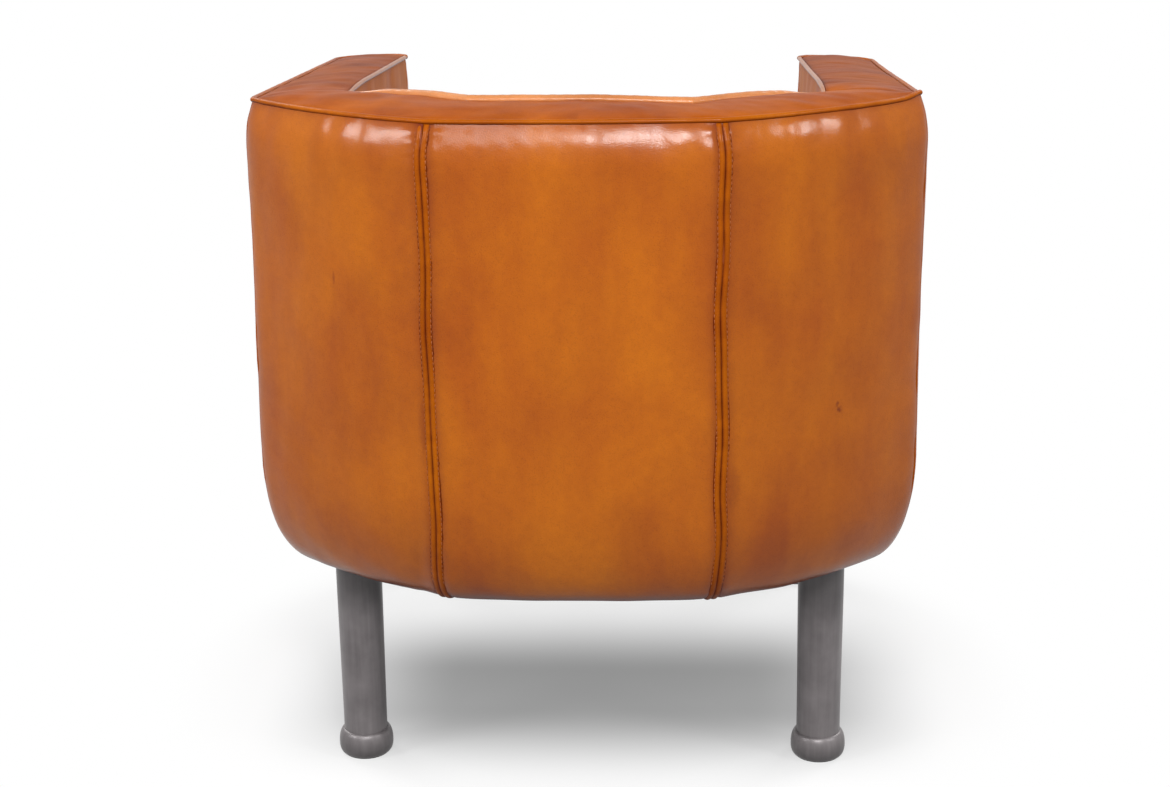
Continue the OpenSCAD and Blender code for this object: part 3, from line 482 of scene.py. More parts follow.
# Centre, reach and depth of each mark
backMarks = [((-0.2536, 0.3071, 0.4227), (0.005, 0.02, 0.006), 0.75),
             ((-0.2516, 0.3071, 0.4290), (0.003, 0.02, 0.005), 0.6),
             ((0.2400, 0.3181, 0.5600), (0.0025, 0.02, 0.012), 0.45),
             ((0.150, 0.36, 0.42), (0.012, 0.03, 0.045), 0.22),
             ((-0.150, 0.36, 0.36), (0.010, 0.03, 0.035), 0.18)]
tan = leather("tanLeather", (0.570, 0.148, 0.001), (0.422, 0.087, 0.001), (0.17, 0.019, 0.001), marks=backMarks)
# Darker copy of the hide for the top border: painted shade, with little polish and shine
tanShadedTop = leather("tanLeatherShadedTop", (0.530, 0.122, 0.001), (0.375, 0.068, 0.001), (0.09, 0.009, 0.001),
                 gloss=0.04, glint=0.01)
# Lighter, pinker copy of the hide for the inner piping: a painted highlight on the rolled back edge
tanLitRoll = leather("tanLitRoll", (0.76, 0.32, 0.12), (0.62, 0.23, 0.070), (0.16, 0.020, 0.002), wrinkle=0.3)
# Lighter copy of the hide for the arms' inner faces: painted light
tanLitInner = leather("tanLeatherLitInner", (0.58, 0.17, 0.003), (0.44, 0.105, 0.002), (0.18, 0.028, 0.001),
                   gloss=0.03, glint=0.01)
tanPiping = leather("tanPiping", (0.52, 0.130, 0.002), (0.38, 0.076, 0.001), (0.14, 0.016, 0.001),
                    wrinkle=0.3, gloss=0.08, glint=0.04)
print("materials ready")


# Surface relief of the outer walls, in metres
wallLook = dict(wave=0.0006, ripple=0.0002, gather=0.0004, crinkle=0.00014, seamDip=0.0014, seamWobble=0.0005,
                seamHalf=0.0080, pucker=0.00035, puckerStep=0.0155, puckerAt=0.010, cornerDip=0.0008)


def spread(n, ends=0.6):
    # n values from 0 to 1, closer together near both ends
    x = np.linspace(0, 1, n)
    return (1 - ends) * x + ends * (0.5 - 0.5 * np.cos(math.pi * x))


def wallRelief(grid, places, seed, startSeam, endSeam):
    # Metres moved outwards: slow waves, gathers below the piping, the dip at each seam with
    # puckers beside it. The second result is painted shade: under the upper edge, at the seams and toward the rolled
    # lower edge, with a little random tone
    s = alongPath(grid[:, grid.shape[1] // 2])[:, None]
    z, look = grid[..., 2], wallLook
    drop, rise = edgeZ(places["p"])[:, None] - z, z - places["low"][:, None]
    # Side panels get more gather and more painted shade toward their lower edge
    gather, paintedShade = (1.5, 0.12) if endSeam == "corner" else (1.0, 0.04)
    move = look["wave"] * rumple(s, z, seed, 0.15) + look["ripple"] * rumple(s, z, seed + 5, 0.045)
    move = move + look["gather"] * gather * rumple(s, 0.3 * z, seed + 1, 0.05) * np.exp(-drop / 0.045)
    move = move + look["crinkle"] * rumple(s, z, seed + 6, 0.017) * np.exp(-drop / 0.04)
    # Painted shade just under the piping, fading downwards, and on a band about 75 mm down
    shade = 0.55 * np.exp(-drop / 0.004) + 0.10 * np.exp(-drop / 0.03) + 0.10 * hump(drop, 0.075, 0.045)
    for near, kind in ((s, startSeam), (s[-1] - s, endSeam)):
        if kind == "strip":
            wobble = look["seamWobble"] * rumple(z, 0, seed + 2, 0.06)
            move = move - look["seamDip"] * np.exp(-((near + wobble) / look["seamHalf"]) ** 4)
            ripple = np.sin(math.tau * z / look["puckerStep"] + 2.2 * rumple(z, 0, seed + 3, 0.05))
            move = move + look["pucker"] * ripple * hump(near, look["puckerAt"], 0.008)
            # Painted shade in the seam groove and a wider halo beside it
            shade = shade + 0.54 * hump(near, 0, 0.0094) + 0.13 * np.exp(-near / 0.028)
        if kind == "corner":
            move = move - look["cornerDip"] * hump(near, 0, 0.0035)
            # Painted shade at the corner seam
            shade = shade + 0.18 * hump(near, 0, 0.003) + 0.10 * np.exp(-near / 0.02)
    # Painted shade toward the rolled lower edge, strongest in its last 16 mm
    shade = shade + paintedShade * smooth(0.2, 0.0, rise) + 0.85 * smooth(0.016, 0.002, rise)
    return move * (1 - np.exp(-drop / 0.004)), shade + 0.05 * rumple(s, z, seed + 4, 0.12)


def outwardSign(grid):
    # Whether the grid's cross product looks away from the chair's axis
    middle = grid.shape[1] // 2
    n, p = normalsOf(grid)[:, middle, :2], grid[:, middle, :2]
    away = p - np.array([np.sign(p[:, 0].mean()) * 0.2, 0.0])
    return 1.0 if np.mean(np.sum(n * away, 1)) > 0 else -1.0


def wallPanel(name, places, seed, seams, node, mirror=False, rows=(18, 40, 20)):
    outer, inner = wallGrid(places, rows), wallGrid(places, rows, coverDepth)
    move, shade = wallRelief(outer, places, seed, *seams)
    outer = outer + normalsOf(outer) * outwardSign(outer) * move[..., None]
    if mirror:
        outer, inner = mirrored(outer), mirrored(inner)
    finishPiece(shellPiece(name, settle(outer), settle(inner), shade), "chair", "leather", tan, node)


wallPanel("backPanelCentre", centrePlaces(2 * spread(120) - 1), 11, ("strip", "strip"), "back_cover_centre")
for side, seed in (("Left", 23), ("Right", 37)):
    wallPanel("backPanel" + side, sidePlaces(spread(100)), seed, ("strip", "corner"), "back_cover_" + side.lower(),
              side == "Right")
for side, seed in (("Left", 41), ("Right", 53)):
    wallPanel("armPanel" + side, armPlaces((armStraight + armRound) * spread(230, 0.35)), seed, ("corner", "none"),
              "arm_cover_" + side.lower(), side == "Right", (14, 24, 16))
print("outer panels made")


# Points along the centre, the side, the arm and its round front end
topCounts = (50, 78, 120, 30)
# Top border, in metres: how far it stays inside the piping, its tuck at both rims, the crease at
# the corners, and its waves
topLook = dict(inset=0.0012, tuck=0.0022, tuckWidth=0.0016, crease=0.0008, creaseWidth=0.004, wave=0.0006,
               ripple=0.0003)
# Pipings, as shares of the piping's radius, and in metres the thicker roll along the back
pipeLook = dict(outer=0.87, arm=0.8, turn=0.6, roll=0.0022, sink=0.0010, turnReach=0.035)
# Inner covers: slow waves and gathers, in metres
innerLook = dict(rows=60, wave=0.0007, gather=0.0005)


def innerPath(nCentre, nSide, nArm):
    # Plan points, mitres towards the sitter and belly of the inner covers, from the middle to the left arm's end
    u, t, w = np.linspace(0, 1, nCentre), np.linspace(0, 1, nSide)[1:], np.linspace(0, 1, nArm)[1:]
    p = np.concatenate([np.stack([innerSeam[0] * u, np.full(nCentre, innerY)], 1), lerp(innerSeam, innerCorner, t),
                        lerp(innerCorner, np.array([armInnerX, armEndY]), w)])
    m = -np.concatenate([np.stack([seamMitre[0] * u, 1 + (seamMitre[1] - 1) * u], 1),
                         lerp(seamMitre, cornerMitre, t), lerp(cornerMitre, leftWay, w)])
    puff = np.concatenate([np.full(nCentre + nSide - 1, shell["innerPuff"]), shell["innerPuff"] * (1 - w ** 4)])
    return p, m, puff


def outerPath(nCentre, nSide, nArm, nRound, roundEnd):
    # The same for the outer walls, with the metres from the rear corner
    s = np.concatenate([armStraight * np.linspace(0, 1, nArm)[1:],
                        armStraight + roundEnd * np.linspace(0, 1, nRound)[1:]])
    parts = [centrePlaces(np.linspace(0, 1, nCentre)), sidePlaces(np.linspace(0, 1, nSide)[1:]), armPlaces(s)]
    return np.concatenate([k["p"] for k in parts]), np.concatenate([k["m"] for k in parts]), s


def bothHalves(p, *rest):
    # The right half, mirrored from the left one, added in front of it
    whole = [np.concatenate([p[:0:-1] * flipX, p])]
    for r in rest:
        whole.append(np.concatenate([r[:0:-1] * (flipX if r.ndim == 2 else 1), r]))
    return whole


def topBorder():
    # Crowned band between the two pipings: z = edge + lift * v + crown * 4v(1-v), tucked down at both rims
    outerP, outerM, _ = outerPath(*topCounts, armRound / 2)
    innerP, innerM, _ = innerPath(*topCounts[:3])
    turn = math.pi / 2 * np.linspace(0, 1, topCounts[3])[1:]
    roundM = -np.stack([np.cos(turn), np.sin(turn)], 1)
    innerRise = smooth(0, 1, np.concatenate([np.zeros(len(innerP)), turn / math.pi]))[:, None]
    v = spread(26, 0.5)[None, :]
    a = outerP - outerM * topLook["inset"]
    b = np.concatenate([innerP, armCentre + armR * roundM])
    b = b - np.concatenate([innerM, roundM]) * topLook["inset"]
    xy = a[:, None] + (b - a)[:, None] * v[..., None]
    width = np.linalg.norm(b - a, axis=1)[:, None]
    crown = shell["topCrown"] * np.minimum(1, width / shell["armWidth"])
    lift = shell["innerLift"]
    z = edgeZ(xy) + lerp(lift * innerRise, lift * (1 - innerRise), v) + crown * arch(v) ** 0.8
    rim = np.minimum(v, 1 - v) * width
    z = z - topLook["tuck"] * hump(rim, 0, topLook["tuckWidth"])
    s = alongPath(outerP)[:, None]
    crease = hump(s, s[sum(topCounts[:2]) - 2], topLook["creaseWidth"]) * smooth(0.004, 0.02, rim)
    grids, shades = [], []
    for side, seed in ((1, 61), (-1, 67)):
        dip = (edgeZ(b) + lift - innerHeight(b * np.array([side, 1.0])))[:, None] * v
        wave = topLook["wave"] * rumple(s, v * width, seed, 0.11)
        wave = wave + topLook["ripple"] * rumple(s, v * width, seed + 1, 0.035)
        rise = (wave - topLook["crease"] * crease) * smooth(0, 0.008, rim)
        grids.append(np.stack([side * xy[..., 0], xy[..., 1], z - dip + rise], 2))
        # Painted shade at both tucked rims, in the corner crease and along the arm tops, plus a little random tone
        shades.append(0.65 * np.exp(-rim / 0.0022) + 0.30 * crease + 0.30 * smooth(0.36, 0.46, s)
                      + 0.08 * rumple(s, v * width, seed + 2, 0.09))
    top = np.concatenate([grids[1][:0:-1], grids[0]])
    low = top - np.array([0, 0, coverDepth])
    piece = shellPiece("topBorder", settle(top), settle(low), np.concatenate([shades[1][:0:-1], shades[0]]))
    finishPiece(piece, "chair", "leather", tanShadedTop, "back_top_cover", "arm_top_cover_left", "arm_top_cover_right")


def tubeAlong(name, p, m, z, radius, seed, sides=14, shape=settle, dark=0.0):
    # Round cord: each ring lies in the plane of the mitre and the vertical; small swells along it
    s, n = alongPath(p), len(p)
    r = radius * (1 + 0.035 * rumple(s, 0, seed, 0.03) + 0.02 * rumple(s, 0, seed + 1, 0.009))
    a = math.tau * np.arange(sides) / sides
    xy = p[:, None] + m[:, None] * (r[:, None] * np.cos(a))[..., None]
    ring = np.concatenate([xy, (z[:, None] + r[:, None] * np.sin(a))[..., None]], 2)
    ends = np.stack([ring[0].mean(0), ring[-1].mean(0)])
    k = np.arange(sides)
    capA = np.stack([np.full(sides, n * sides), k, (k + 1) % sides], 1)
    capB = np.stack([np.full(sides, n * sides + 1), (n - 1) * sides + (k + 1) % sides, (n - 1) * sides + k], 1)
    faces = quads(n, sides, closeCols=True).tolist() + capA.tolist() + capB.tolist()
    # Painted shade: the underside of each cord is darkened, and dark adds more painted shade where it is given
    low = np.clip(0.5 - 0.9 * np.sin(a), 0, 1) ** 2
    shade = np.concatenate([(0.75 * low[None] + np.broadcast_to(dark, n)[:, None]).ravel(), [0.5, 0.5]])
    points = shape(np.concatenate([ring.reshape(-1, 3), ends]))
    return meshPiece(name, points, faces, shade, merge=False, sharp=None)


def outerPiping():
    p, m, s = outerPath(70, 110, 200, 60, armRound)
    lift = shell["innerLift"] * smooth(armStraight, armStraight + armRound, s)
    p, m, z = bothHalves(p, m, edgeZ(p) + np.concatenate([np.zeros(len(p) - len(s)), lift]))
    piece = tubeAlong("outerPiping", p, m, z, shell["pipingR"] * pipeLook["outer"], 71)
    finishPiece(piece, "chair", "piping", tanPiping, "outer_piping")


def innerPiping():
    # Along the back the cover is rolled over a thicker cord; it thins out and sinks in at the corners
    p, m, _ = innerPath(60, 100, 220)
    p, m = bothHalves(p, m)
    cord, cornerX, cornerBack = shell["pipingR"], innerCorner[0], innerCorner[1] + 0.001
    behind = p[:, 1] > cornerBack
    turnIn = hump(np.hypot(np.abs(p[:, 0]) - cornerX, p[:, 1] - innerCorner[1]), 0, pipeLook["turnReach"])
    thinning = smooth(1.0, 0.80, np.clip(np.abs(p[:, 0]) / cornerX, 0, 1))
    radius = np.where(behind, cord + pipeLook["roll"] * thinning, cord * pipeLook["arm"])
    radius = radius + (cord * pipeLook["turn"] - radius) * turnIn
    thick = np.maximum(radius - cord, 0)
    z = innerHeight(p) + 0.3 * thick - pipeLook["sink"] * turnIn
    p = p + m * (thick * 0.6)[:, None]
    # Painted shade on the welt along the arms and where it turns in at the inner corners
    dark = np.where(behind, 0.0, 0.45 * smooth(cornerBack, innerCorner[1] - 0.02, p[:, 1]))
    piece = tubeAlong("innerPiping", p, m, z, radius, 83, dark=np.maximum(dark, 0.4 * turnIn))
    finishPiece(piece, "chair", "piping", tanLitRoll, "inner_piping")


def innerGrid(p, m, puff, depth=0.0):
    # Down from the inner piping: a belly of puff * sin(pi f^0.6) towards the sitter
    f = (np.linspace(0, 1, innerLook["rows"]) ** 1.25)[None, :]
    top = innerHeight(p)[:, None] - shell["edgeGap"]
    out = puff[:, None] * np.sin(math.pi * f ** 0.6) - depth
    xy = p[:, None] + m[:, None] * out[..., None]
    z = top + (shell["innerBottom"] - top) * f
    return np.concatenate([xy, z[..., None]], 2)


def innerPanel(name, p, m, puff, seed, replaced, material=tan):
    outer, inner = innerGrid(p, m, puff), innerGrid(p, m, puff, coverDepth)
    s, z = alongPath(outer[:, innerLook["rows"] // 2])[:, None], outer[..., 2]
    drop = z[:, :1] - z
    move = innerLook["wave"] * rumple(s, z, seed, 0.13)
    move = move + innerLook["gather"] * rumple(s, 0.3 * z, seed + 1, 0.05) * np.exp(-drop / 0.05)
    # Painted shade under the inner piping and lower down towards the seat, over a slight even darkening and random
    # tone
    shade = 0.45 * np.exp(-drop / 0.004) + 0.06 + 0.30 * smooth(0.45, 0.30, z) + 0.06 * rumple(s, z, seed + 2, 0.1)
    move = move * (1 - np.exp(-drop / 0.004))
    outer[..., :2] += unit(m)[:, None] * move[..., None]
    finishPiece(shellPiece(name, settle(outer), settle(inner), shade), "chair", "leather", material, replaced)


def innerPanels():
    nCentre, nSide, nArm = 50, 80, 150
    path = innerPath(nCentre, nSide, nArm)
    cornerAt = nCentre + nSide - 2
    innerPanel("innerBackPanel", *bothHalves(*(a[:cornerAt + 1] for a in path)), 91, "inner_back_cover")
    p, m, puff = (a[cornerAt:] for a in path)
    innerPanel("innerArmPanelLeft", p, m, puff, 97, "inner_arm_cover_left", tanLitInner)
    innerPanel("innerArmPanelRight", p * flipX, m * flipX, puff, 101, "inner_arm_cover_right", tanLitInner)


topBorder()
outerPiping()
innerPiping()
innerPanels()
print("top border, pipings and inner panels made")


# Double stitched seams of the back, in metres: half their width, the ridges and the thread
seamLook = dict(half=0.0071, rim=0.0004, ridge=0.0016, sink=0.0011, topSink=0.0006, wobble=0.0011, depth=0.0022,
                columns=41, stitched=(4, 36), stitch=0.0042, gap=0.0011, thread=0.00042)


def seamPlaces(c):
    # c is metres across the seam: below 0 on the centre panel, above 0 on the side panel
    a = centrePlaces(1 + np.minimum(c, 0) / shell["seamX"])
    b = sidePlaces(np.maximum(c, 0) / np.linalg.norm(corner - seam))
    return {k: np.where((c < 0)[:, None] if a[k].ndim == 2 else c < 0, a[k], b[k]) for k in a}


def rearNormals(grid):
    # Normals of a seam's grid, turned to look to the rear at its middle column
    n = normalsOf(grid)
    return n * (1 if n[seamLook["columns"] // 2, 40, 1] > 0 else -1)


def seamStrip(name, side, seed):
    # Two raised strips between three grooves: height = ridge * |sin(pi c / 6.7 mm)|^0.8 - sink
    look = seamLook
    c, pitch = np.linspace(-look["half"], look["half"], look["columns"]), look["half"] - look["rim"]
    grid = wallGrid(seamPlaces(c), (30, 90, 40))
    n, z = rearNormals(grid), grid[..., 2]
    ridge = np.abs(np.sin(math.pi * np.clip(c, -pitch, pitch) / pitch))[:, None] ** 0.8
    uneven = 1 + 0.16 * rumple(z, 0, seed, 0.03) + 0.10 * rumple(z, 0, seed + 1, 0.008)
    drop = z[:, :1] - z
    atTop = np.exp(-drop / 0.003)
    height = (look["ridge"] * ridge * uneven - look["sink"]) * (1 - atTop) - look["topSink"] * atTop
    sway = look["wobble"] * rumple(z, 0, seed + 2, 0.09) * smooth(0, 0.03, drop)
    sway = sway[..., None] * np.array([sideWay[0], sideWay[1] * 0.5, 0])
    outer, inner = grid + n * height[..., None] + sway, grid - n * look["depth"] + sway
    # Painted shade in the three grooves between the ridges, with a little random tone
    shade = 0.02 + 0.95 * hump(ridge, 0, 0.62) + 0.06 * rumple(z, 0, seed + 3, 0.02)
    if side < 0:
        outer, inner = mirrored(outer), mirrored(inner)
    outer, inner = settle(outer), settle(inner)
    return shellPiece(name, outer, inner, shade), outer


def stitchRow(path, normal, start):
    # Short thread bars along a path, each a six-sided spindle of six rings, sunk at its ends
    length, radius = seamLook["stitch"], seamLook["thread"]
    s, rows = alongPath(path), np.linspace(0, 1, 6)
    starts = np.arange(0.004, s[-1] - length, length + seamLook["gap"])
    at = starts[:, None] + rows[None, :] * length
    pos, up = (np.stack([np.interp(at, s, v[:, k]) for k in range(3)], -1) for v in (path, normal))
    across = np.cross(unit(np.gradient(pos, axis=1)), up)
    r = radius * np.sqrt(np.clip(arch(rows), 0.03, 1))[None, :]
    rise = (radius * 1.1 * arch(rows) - radius * 0.5)[None, :, None]
    a = math.tau * np.arange(6) / 6
    ring = (pos + up * rise)[:, :, None] + r[..., None, None] * (
        across[:, :, None] * np.cos(a)[:, None] + up[:, :, None] * np.sin(a)[:, None])
    number = start + 36 * np.arange(len(starts))[:, None]
    faces = (quads(6, 6, closeCols=True)[None] + number[..., None]).reshape(-1, 4)
    caps = np.stack([number + np.arange(6)[::-1], number + 30 + np.arange(6)]).reshape(-1, 6)
    return ring.reshape(-1, 3), faces.tolist() + caps.tolist()


def waveNode(tree, vector, scale, bend, way="X", detail=2.0, detailScale=1.0):
    return addNode(tree, "ShaderNodeTexWave", {"Vector": vector, "Scale": scale, "Distortion": bend, "Detail": detail,
                                               "Detail Scale": detailScale}, bands_direction=way).outputs["Fac"]


def waxedThread(name):
    material, tree, shader = newMaterial(name, {"Roughness": 0.55})
    twist = waveNode(tree, objectSpace(tree), 700.0, 1.5)
    colour = ramp(tree, twist, [(0.2, (0.27, 0.055, 0.005)), (0.8, (0.44, 0.115, 0.012))])
    feed(tree, shader.inputs, {"Base Color": colour, "Normal": bumpNode(tree, twist, 0.5, 0.0002)})
    return material


def backSeams():
    thread = waxedThread("waxedThread")
    for side, sign, seed in (("Left", 1, 103), ("Right", -1, 109)):
        strip, top = seamStrip("seamStrip" + side, sign, seed)
        finishPiece(strip, "chair", "piping", tanPiping, "back_seam_strips")
        n = rearNormals(top)
        points, faces = np.zeros((0, 3)), []
        for column in seamLook["stitched"]:
            more, moreFaces = stitchRow(top[column, 4:-16], n[column, 4:-16], len(points))
            points, faces = np.concatenate([points, more]), faces + moreFaces
        stitches = meshPiece("seamThread" + side, points, faces, merge=False)
        finishPiece(stitches, "chair", "piping", thread)


backSeams()
print("back seams made")


# Seat front between the arms: its outline in y and z, from under the seat up to the deck
frontLook = dict(setback=0.008, lowRound=0.020, topRound=0.010, reach=0.016, tuck=0.0177, deckTop=0.2995,
                 half=0.2404, belly=0.0012, wave=0.0006, ripple=0.0003)


def seatFront():
    low, top, half = shell["bottomZ"], frontLook["deckTop"], frontLook["half"]
    face = cornerY - shell["armLength"] + frontLook["setback"]
    r, q = frontLook["lowRound"], frontLook["topRound"]
    a = math.pi / 2 * np.linspace(0, 1, 14)
    y = np.concatenate([[face + r + frontLook["reach"]], face + r - r * np.sin(a), np.full(14, face),
                        face + q - q * np.cos(a), [face + frontLook["tuck"]]])
    z = np.concatenate([[low], low + r - r * np.cos(a), np.linspace(low + r, top - q, 16)[1:-1],
                        top - q + q * np.sin(a), [top]])
    x = np.concatenate([[-1, -1], 2 * spread(130, 0.5) - 1, [1, 1]]) * half
    back = np.concatenate([[0.016, 0.008], np.zeros(130), [0.008, 0.016]])
    flat = np.stack([x[:, None] + 0 * y[None], back[:, None] + y[None], 0 * x[:, None] + z[None]], 2)
    n = normalsOf(flat)
    n = n * (-1 if n[60, 20, 1] > 0 else 1)
    gx, gz = flat[..., 0], flat[..., 2]
    edge = half - np.abs(gx)
    inside = smooth(0, 0.012, edge) * smooth(0.0, 0.02, gz - low) * smooth(0, 0.01, top - gz)
    wave, ripple = frontLook["wave"] * rumple(gx, gz, 113, 0.10), frontLook["ripple"] * rumple(gx, gz, 114, 0.04)
    move = (frontLook["belly"] * smooth(0, 0.08, edge) + wave + ripple) * inside
    # Painted shade: an even darkening, more at both side edges and towards the bottom, with random tone
    shade = 0.25 + 0.5 * np.exp(-edge / 0.004) + 0.35 * smooth(0.03, 0, gz - low) + 0.06 * rumple(gx, gz, 115, 0.1)
    piece = shellPiece("seatFrontPanel", flat + n * move[..., None], flat - n * coverDepth, shade)
    finishPiece(piece, "chair", "leather", tan, "seat_front_cover")


seatFront()


# Loose seat cushion: boxed, piped along both edges, crowned on top. The radii run from a front
# corner to the rear, the draws round the whole outline
cushion = dict(base=0.2998, lowSeam=0.0014, lowPiping=0.0042, border=0.112, crown=0.0184, puff=0.003,
               gap=0.0055, front=-0.352, radii=(0.030, 0.024, 0.060), draw=0.004, draws=(1, 0.2, 0.4, 0.2, 1, 0.6),
               voxel=0.0065, pressure=3.2, frames=20, cap=0.006, pipeR=0.0028, pipeOut=0.0018,
               wave=0.0008, ripple=0.0002, fold=0.0004)


def wholeOutline(half):
    return np.concatenate([half, half[::-1] * flipX])


def seatSpace(front, gap):
    # Outline between the inner covers, the gap inside their flat lines, up to the front
    x, rear = armInnerX - gap, innerY - gap
    p = corner - (shell["sideThickness"] + gap) * sideNormal
    return wholeOutline(np.array([[x, front], p + sideWay * (x - p[0]) / sideWay[0],
                                  p + sideWay * (rear - p[1]) / sideWay[1]]))


def spacedAlong(outline, step=None, count=None):
    # The closed outline again, with a point every step or with so many points
    loop = np.concatenate([outline, outline[:1]])
    s = alongPath(loop)
    at = np.linspace(0, s[-1], count or int(s[-1] / step), endpoint=False)
    return np.stack([np.interp(at, s, loop[:, k]) for k in (0, 1)], 1)


def sideOut(a, b):
    # Unit normal of the side from a to b
    return np.array([(b - a)[1], -(b - a)[0]]) / np.linalg.norm(b - a)


def cushionOutline(count=420):
    # Rounded polygon, its sides drawn in between the corners, spread evenly; with outward normals
    c = seatSpace(cushion["front"], cushion["gap"])
    radii = cushion["radii"] + cushion["radii"][::-1]
    points = []
    for i, draw in enumerate(cushion["draws"]):
        j = (i + 1) % 6
        n1, n2, n3 = sideOut(c[i - 1], c[i]), sideOut(c[i], c[j]), sideOut(c[j], c[(i + 2) % 6])
        start, end = c[i] - radii[i] * mitre(n1, n2), c[j] - radii[j] * mitre(n2, n3)
        points.append(start + radii[i] * unit(lerp(n1, n2, np.linspace(0, 1, 24))))
        t = np.linspace(0, 1, 90)[1:-1]
        straight = lerp(start + radii[i] * n2, end + radii[j] * n2, t)
        points.append(straight - np.outer(cushion["draw"] * draw * arch(t), n2))
    p = spacedAlong(np.concatenate(points), count=count)
    way = np.roll(p, -1, 0) - np.roll(p, 1, 0)
    n = unit(np.stack([way[:, 1], -way[:, 0]], 1))
    return p, n if np.mean(np.sum(n * (p - p.mean(0)), 1)) > 0 else -n


def ringsAt(xy, z):
    return np.concatenate([xy, np.broadcast_to(z[:, None, None], (len(z), xy.shape[1], 1))], 2)


def cushionBody():
    # Rings up the border, then rings scaled towards the middle over top and bottom
    p, n = cushionOutline()
    mid = np.array([0, (cushion["front"] + innerY - cushion["gap"]) / 2])
    low, high = cushion["base"] + cushion["lowSeam"], cushion["base"] + cushion["border"]
    f, k = np.linspace(0, 1, 22), np.linspace(1, 0, 40)[1:-1] ** 0.8
    border = p[None] - n[None] * (cushion["puff"] * (1 - arch(f)))[:, None, None]
    flat = mid + (p - n * cushion["puff"] - mid)[None] * k[:, None, None]
    rings = np.concatenate([ringsAt(flat[::-1], np.full(len(k), low)), ringsAt(border, lerp(low, high, f)),
                            ringsAt(flat, high + cushion["crown"] * (1 - k ** 2.5))])
    size, count = len(p), len(rings) * len(p)
    i, after = np.arange(size), (np.arange(size) + 1) % size
    last = count - size
    faces = quads(len(rings), size, closeCols=True).tolist()
    faces += np.stack([np.full(size, count), after, i], 1).tolist()
    faces += np.stack([np.full(size, count + 1), last + i, last + after], 1).tolist()
    points = np.concatenate([rings.reshape(-1, 3), [[*mid, low], [*mid, high + cushion["crown"]]]])
    return meshPiece("seatCushion", points, faces)


def placesOf(mesh):
    flat = np.zeros(len(mesh.vertices) * 3, np.float32)
    mesh.vertices.foreach_get("co", flat)
    return flat.reshape(-1, 3).astype(float)


def airMoves(piece, start, held):
    # How far air pressure moves each vertex, held where held is 1; long moves are capped
    scene = bpy.context.scene
    group = piece.vertex_groups.new(name="held")
    for level in np.unique(np.round(held, 1)):
        if level > 0:
            group.add(np.flatnonzero(np.round(held, 1) == level).tolist(), float(level), "REPLACE")
    cloth = piece.modifiers.new("air", "CLOTH")
    cloth.settings.use_pressure = True
    cloth.settings.uniform_pressure_force = cushion["pressure"]
    cloth.settings.vertex_group_mass = "held"
    cloth.settings.effector_weights.gravity = 0
    cloth.settings.quality = 5
    cloth.collision_settings.use_collision = False
    cloth.point_cache.frame_start, cloth.point_cache.frame_end = 1, cushion["frames"]
    for f in range(1, cushion["frames"] + 1):
        scene.frame_set(f)
    move = placesOf(piece.evaluated_get(bpy.context.evaluated_depsgraph_get()).to_mesh()) - start
    piece.modifiers.remove(cloth)
    scene.frame_set(1)
    size = np.linalg.norm(move, axis=1, keepdims=True)
    return move * np.minimum(1, cushion["cap"] / np.maximum(size, 1e-9))


def swellCushion(piece):
    # Even faces, then air pressure with the seams and the bottom held, and soft folds on top
    bpy.context.view_layer.objects.active = piece
    remesh = piece.modifiers.new("even", "REMESH")
    remesh.mode = "VOXEL"
    remesh.voxel_size = cushion["voxel"]
    bpy.ops.object.modifier_apply(modifier="even")
    start = placesOf(piece.data)
    x, y, z = start.T
    p, n = cushionOutline()
    rim, high = p - n * cushion["puff"], cushion["base"] + cushion["border"]
    near = np.concatenate([np.linalg.norm(block[:, None, :2] - rim[None], axis=2).min(1)
                           for block in np.array_split(start, 20)])
    seamGap = np.minimum(np.hypot(near, z - high), np.hypot(near, z - cushion["base"] - cushion["lowSeam"]))
    held = np.maximum(np.clip(1.15 - seamGap / 0.012, 0, 1), smooth(0.012, 0.002, z - cushion["base"]))
    end = start + airMoves(piece, start, held)
    relief = cushion["wave"] * rumple(x, y, 127, 0.14) + cushion["ripple"] * rumple(x, y, 128, 0.045)
    folds = cushion["fold"] * rumple(x, y, 129, 0.035) * np.exp(-near / 0.05)
    rise = smooth(high - 0.004, high + 0.004, z) * smooth(0.004, 0.03, seamGap) * (relief + folds)
    end = end + rise[:, None] * np.array([0.0, 0.0, 1.0])
    piece.data.vertices.foreach_set("co", end.ravel().astype(np.float32))
    # Painted shade along both seams and beside them, over an even darkening and random tone
    setShade(piece.data, 0.12 + 0.6 * hump(seamGap, 0, 0.006) + 0.12 * np.exp(-seamGap / 0.03)
             + 0.05 * rumple(x, y, 130, 0.1))
    piece.data.polygons.foreach_set("use_smooth", np.ones(len(piece.data.polygons), bool))
    even = piece.modifiers.new("smooth", "SUBSURF")
    even.levels = even.render_levels = 1
    bpy.ops.object.modifier_apply(modifier="smooth")


def cushionPiping(name, height, seed):
    p, n = cushionOutline(520)
    p = p - n * (cushion["puff"] - cushion["pipeOut"])
    p, n = np.concatenate([p, p[:2]]), np.concatenate([n, n[:2]])
    piece = tubeAlong(name, p, n, np.full(len(p), height), cushion["pipeR"], seed, shape=np.array)
    finishPiece(piece, "cushion", "piping", tanPiping)


seatCushion = cushionBody()
swellCushion(seatCushion)
finishPiece(seatCushion, "cushion", "leather", tan, "cushion_top", "cushion_border")
cushionPiping("cushionPipingTop", cushion["base"] + cushion["border"], 131)
cushionPiping("cushionPipingLow", cushion["base"] + cushion["lowPiping"], 137)
print("cushion made")


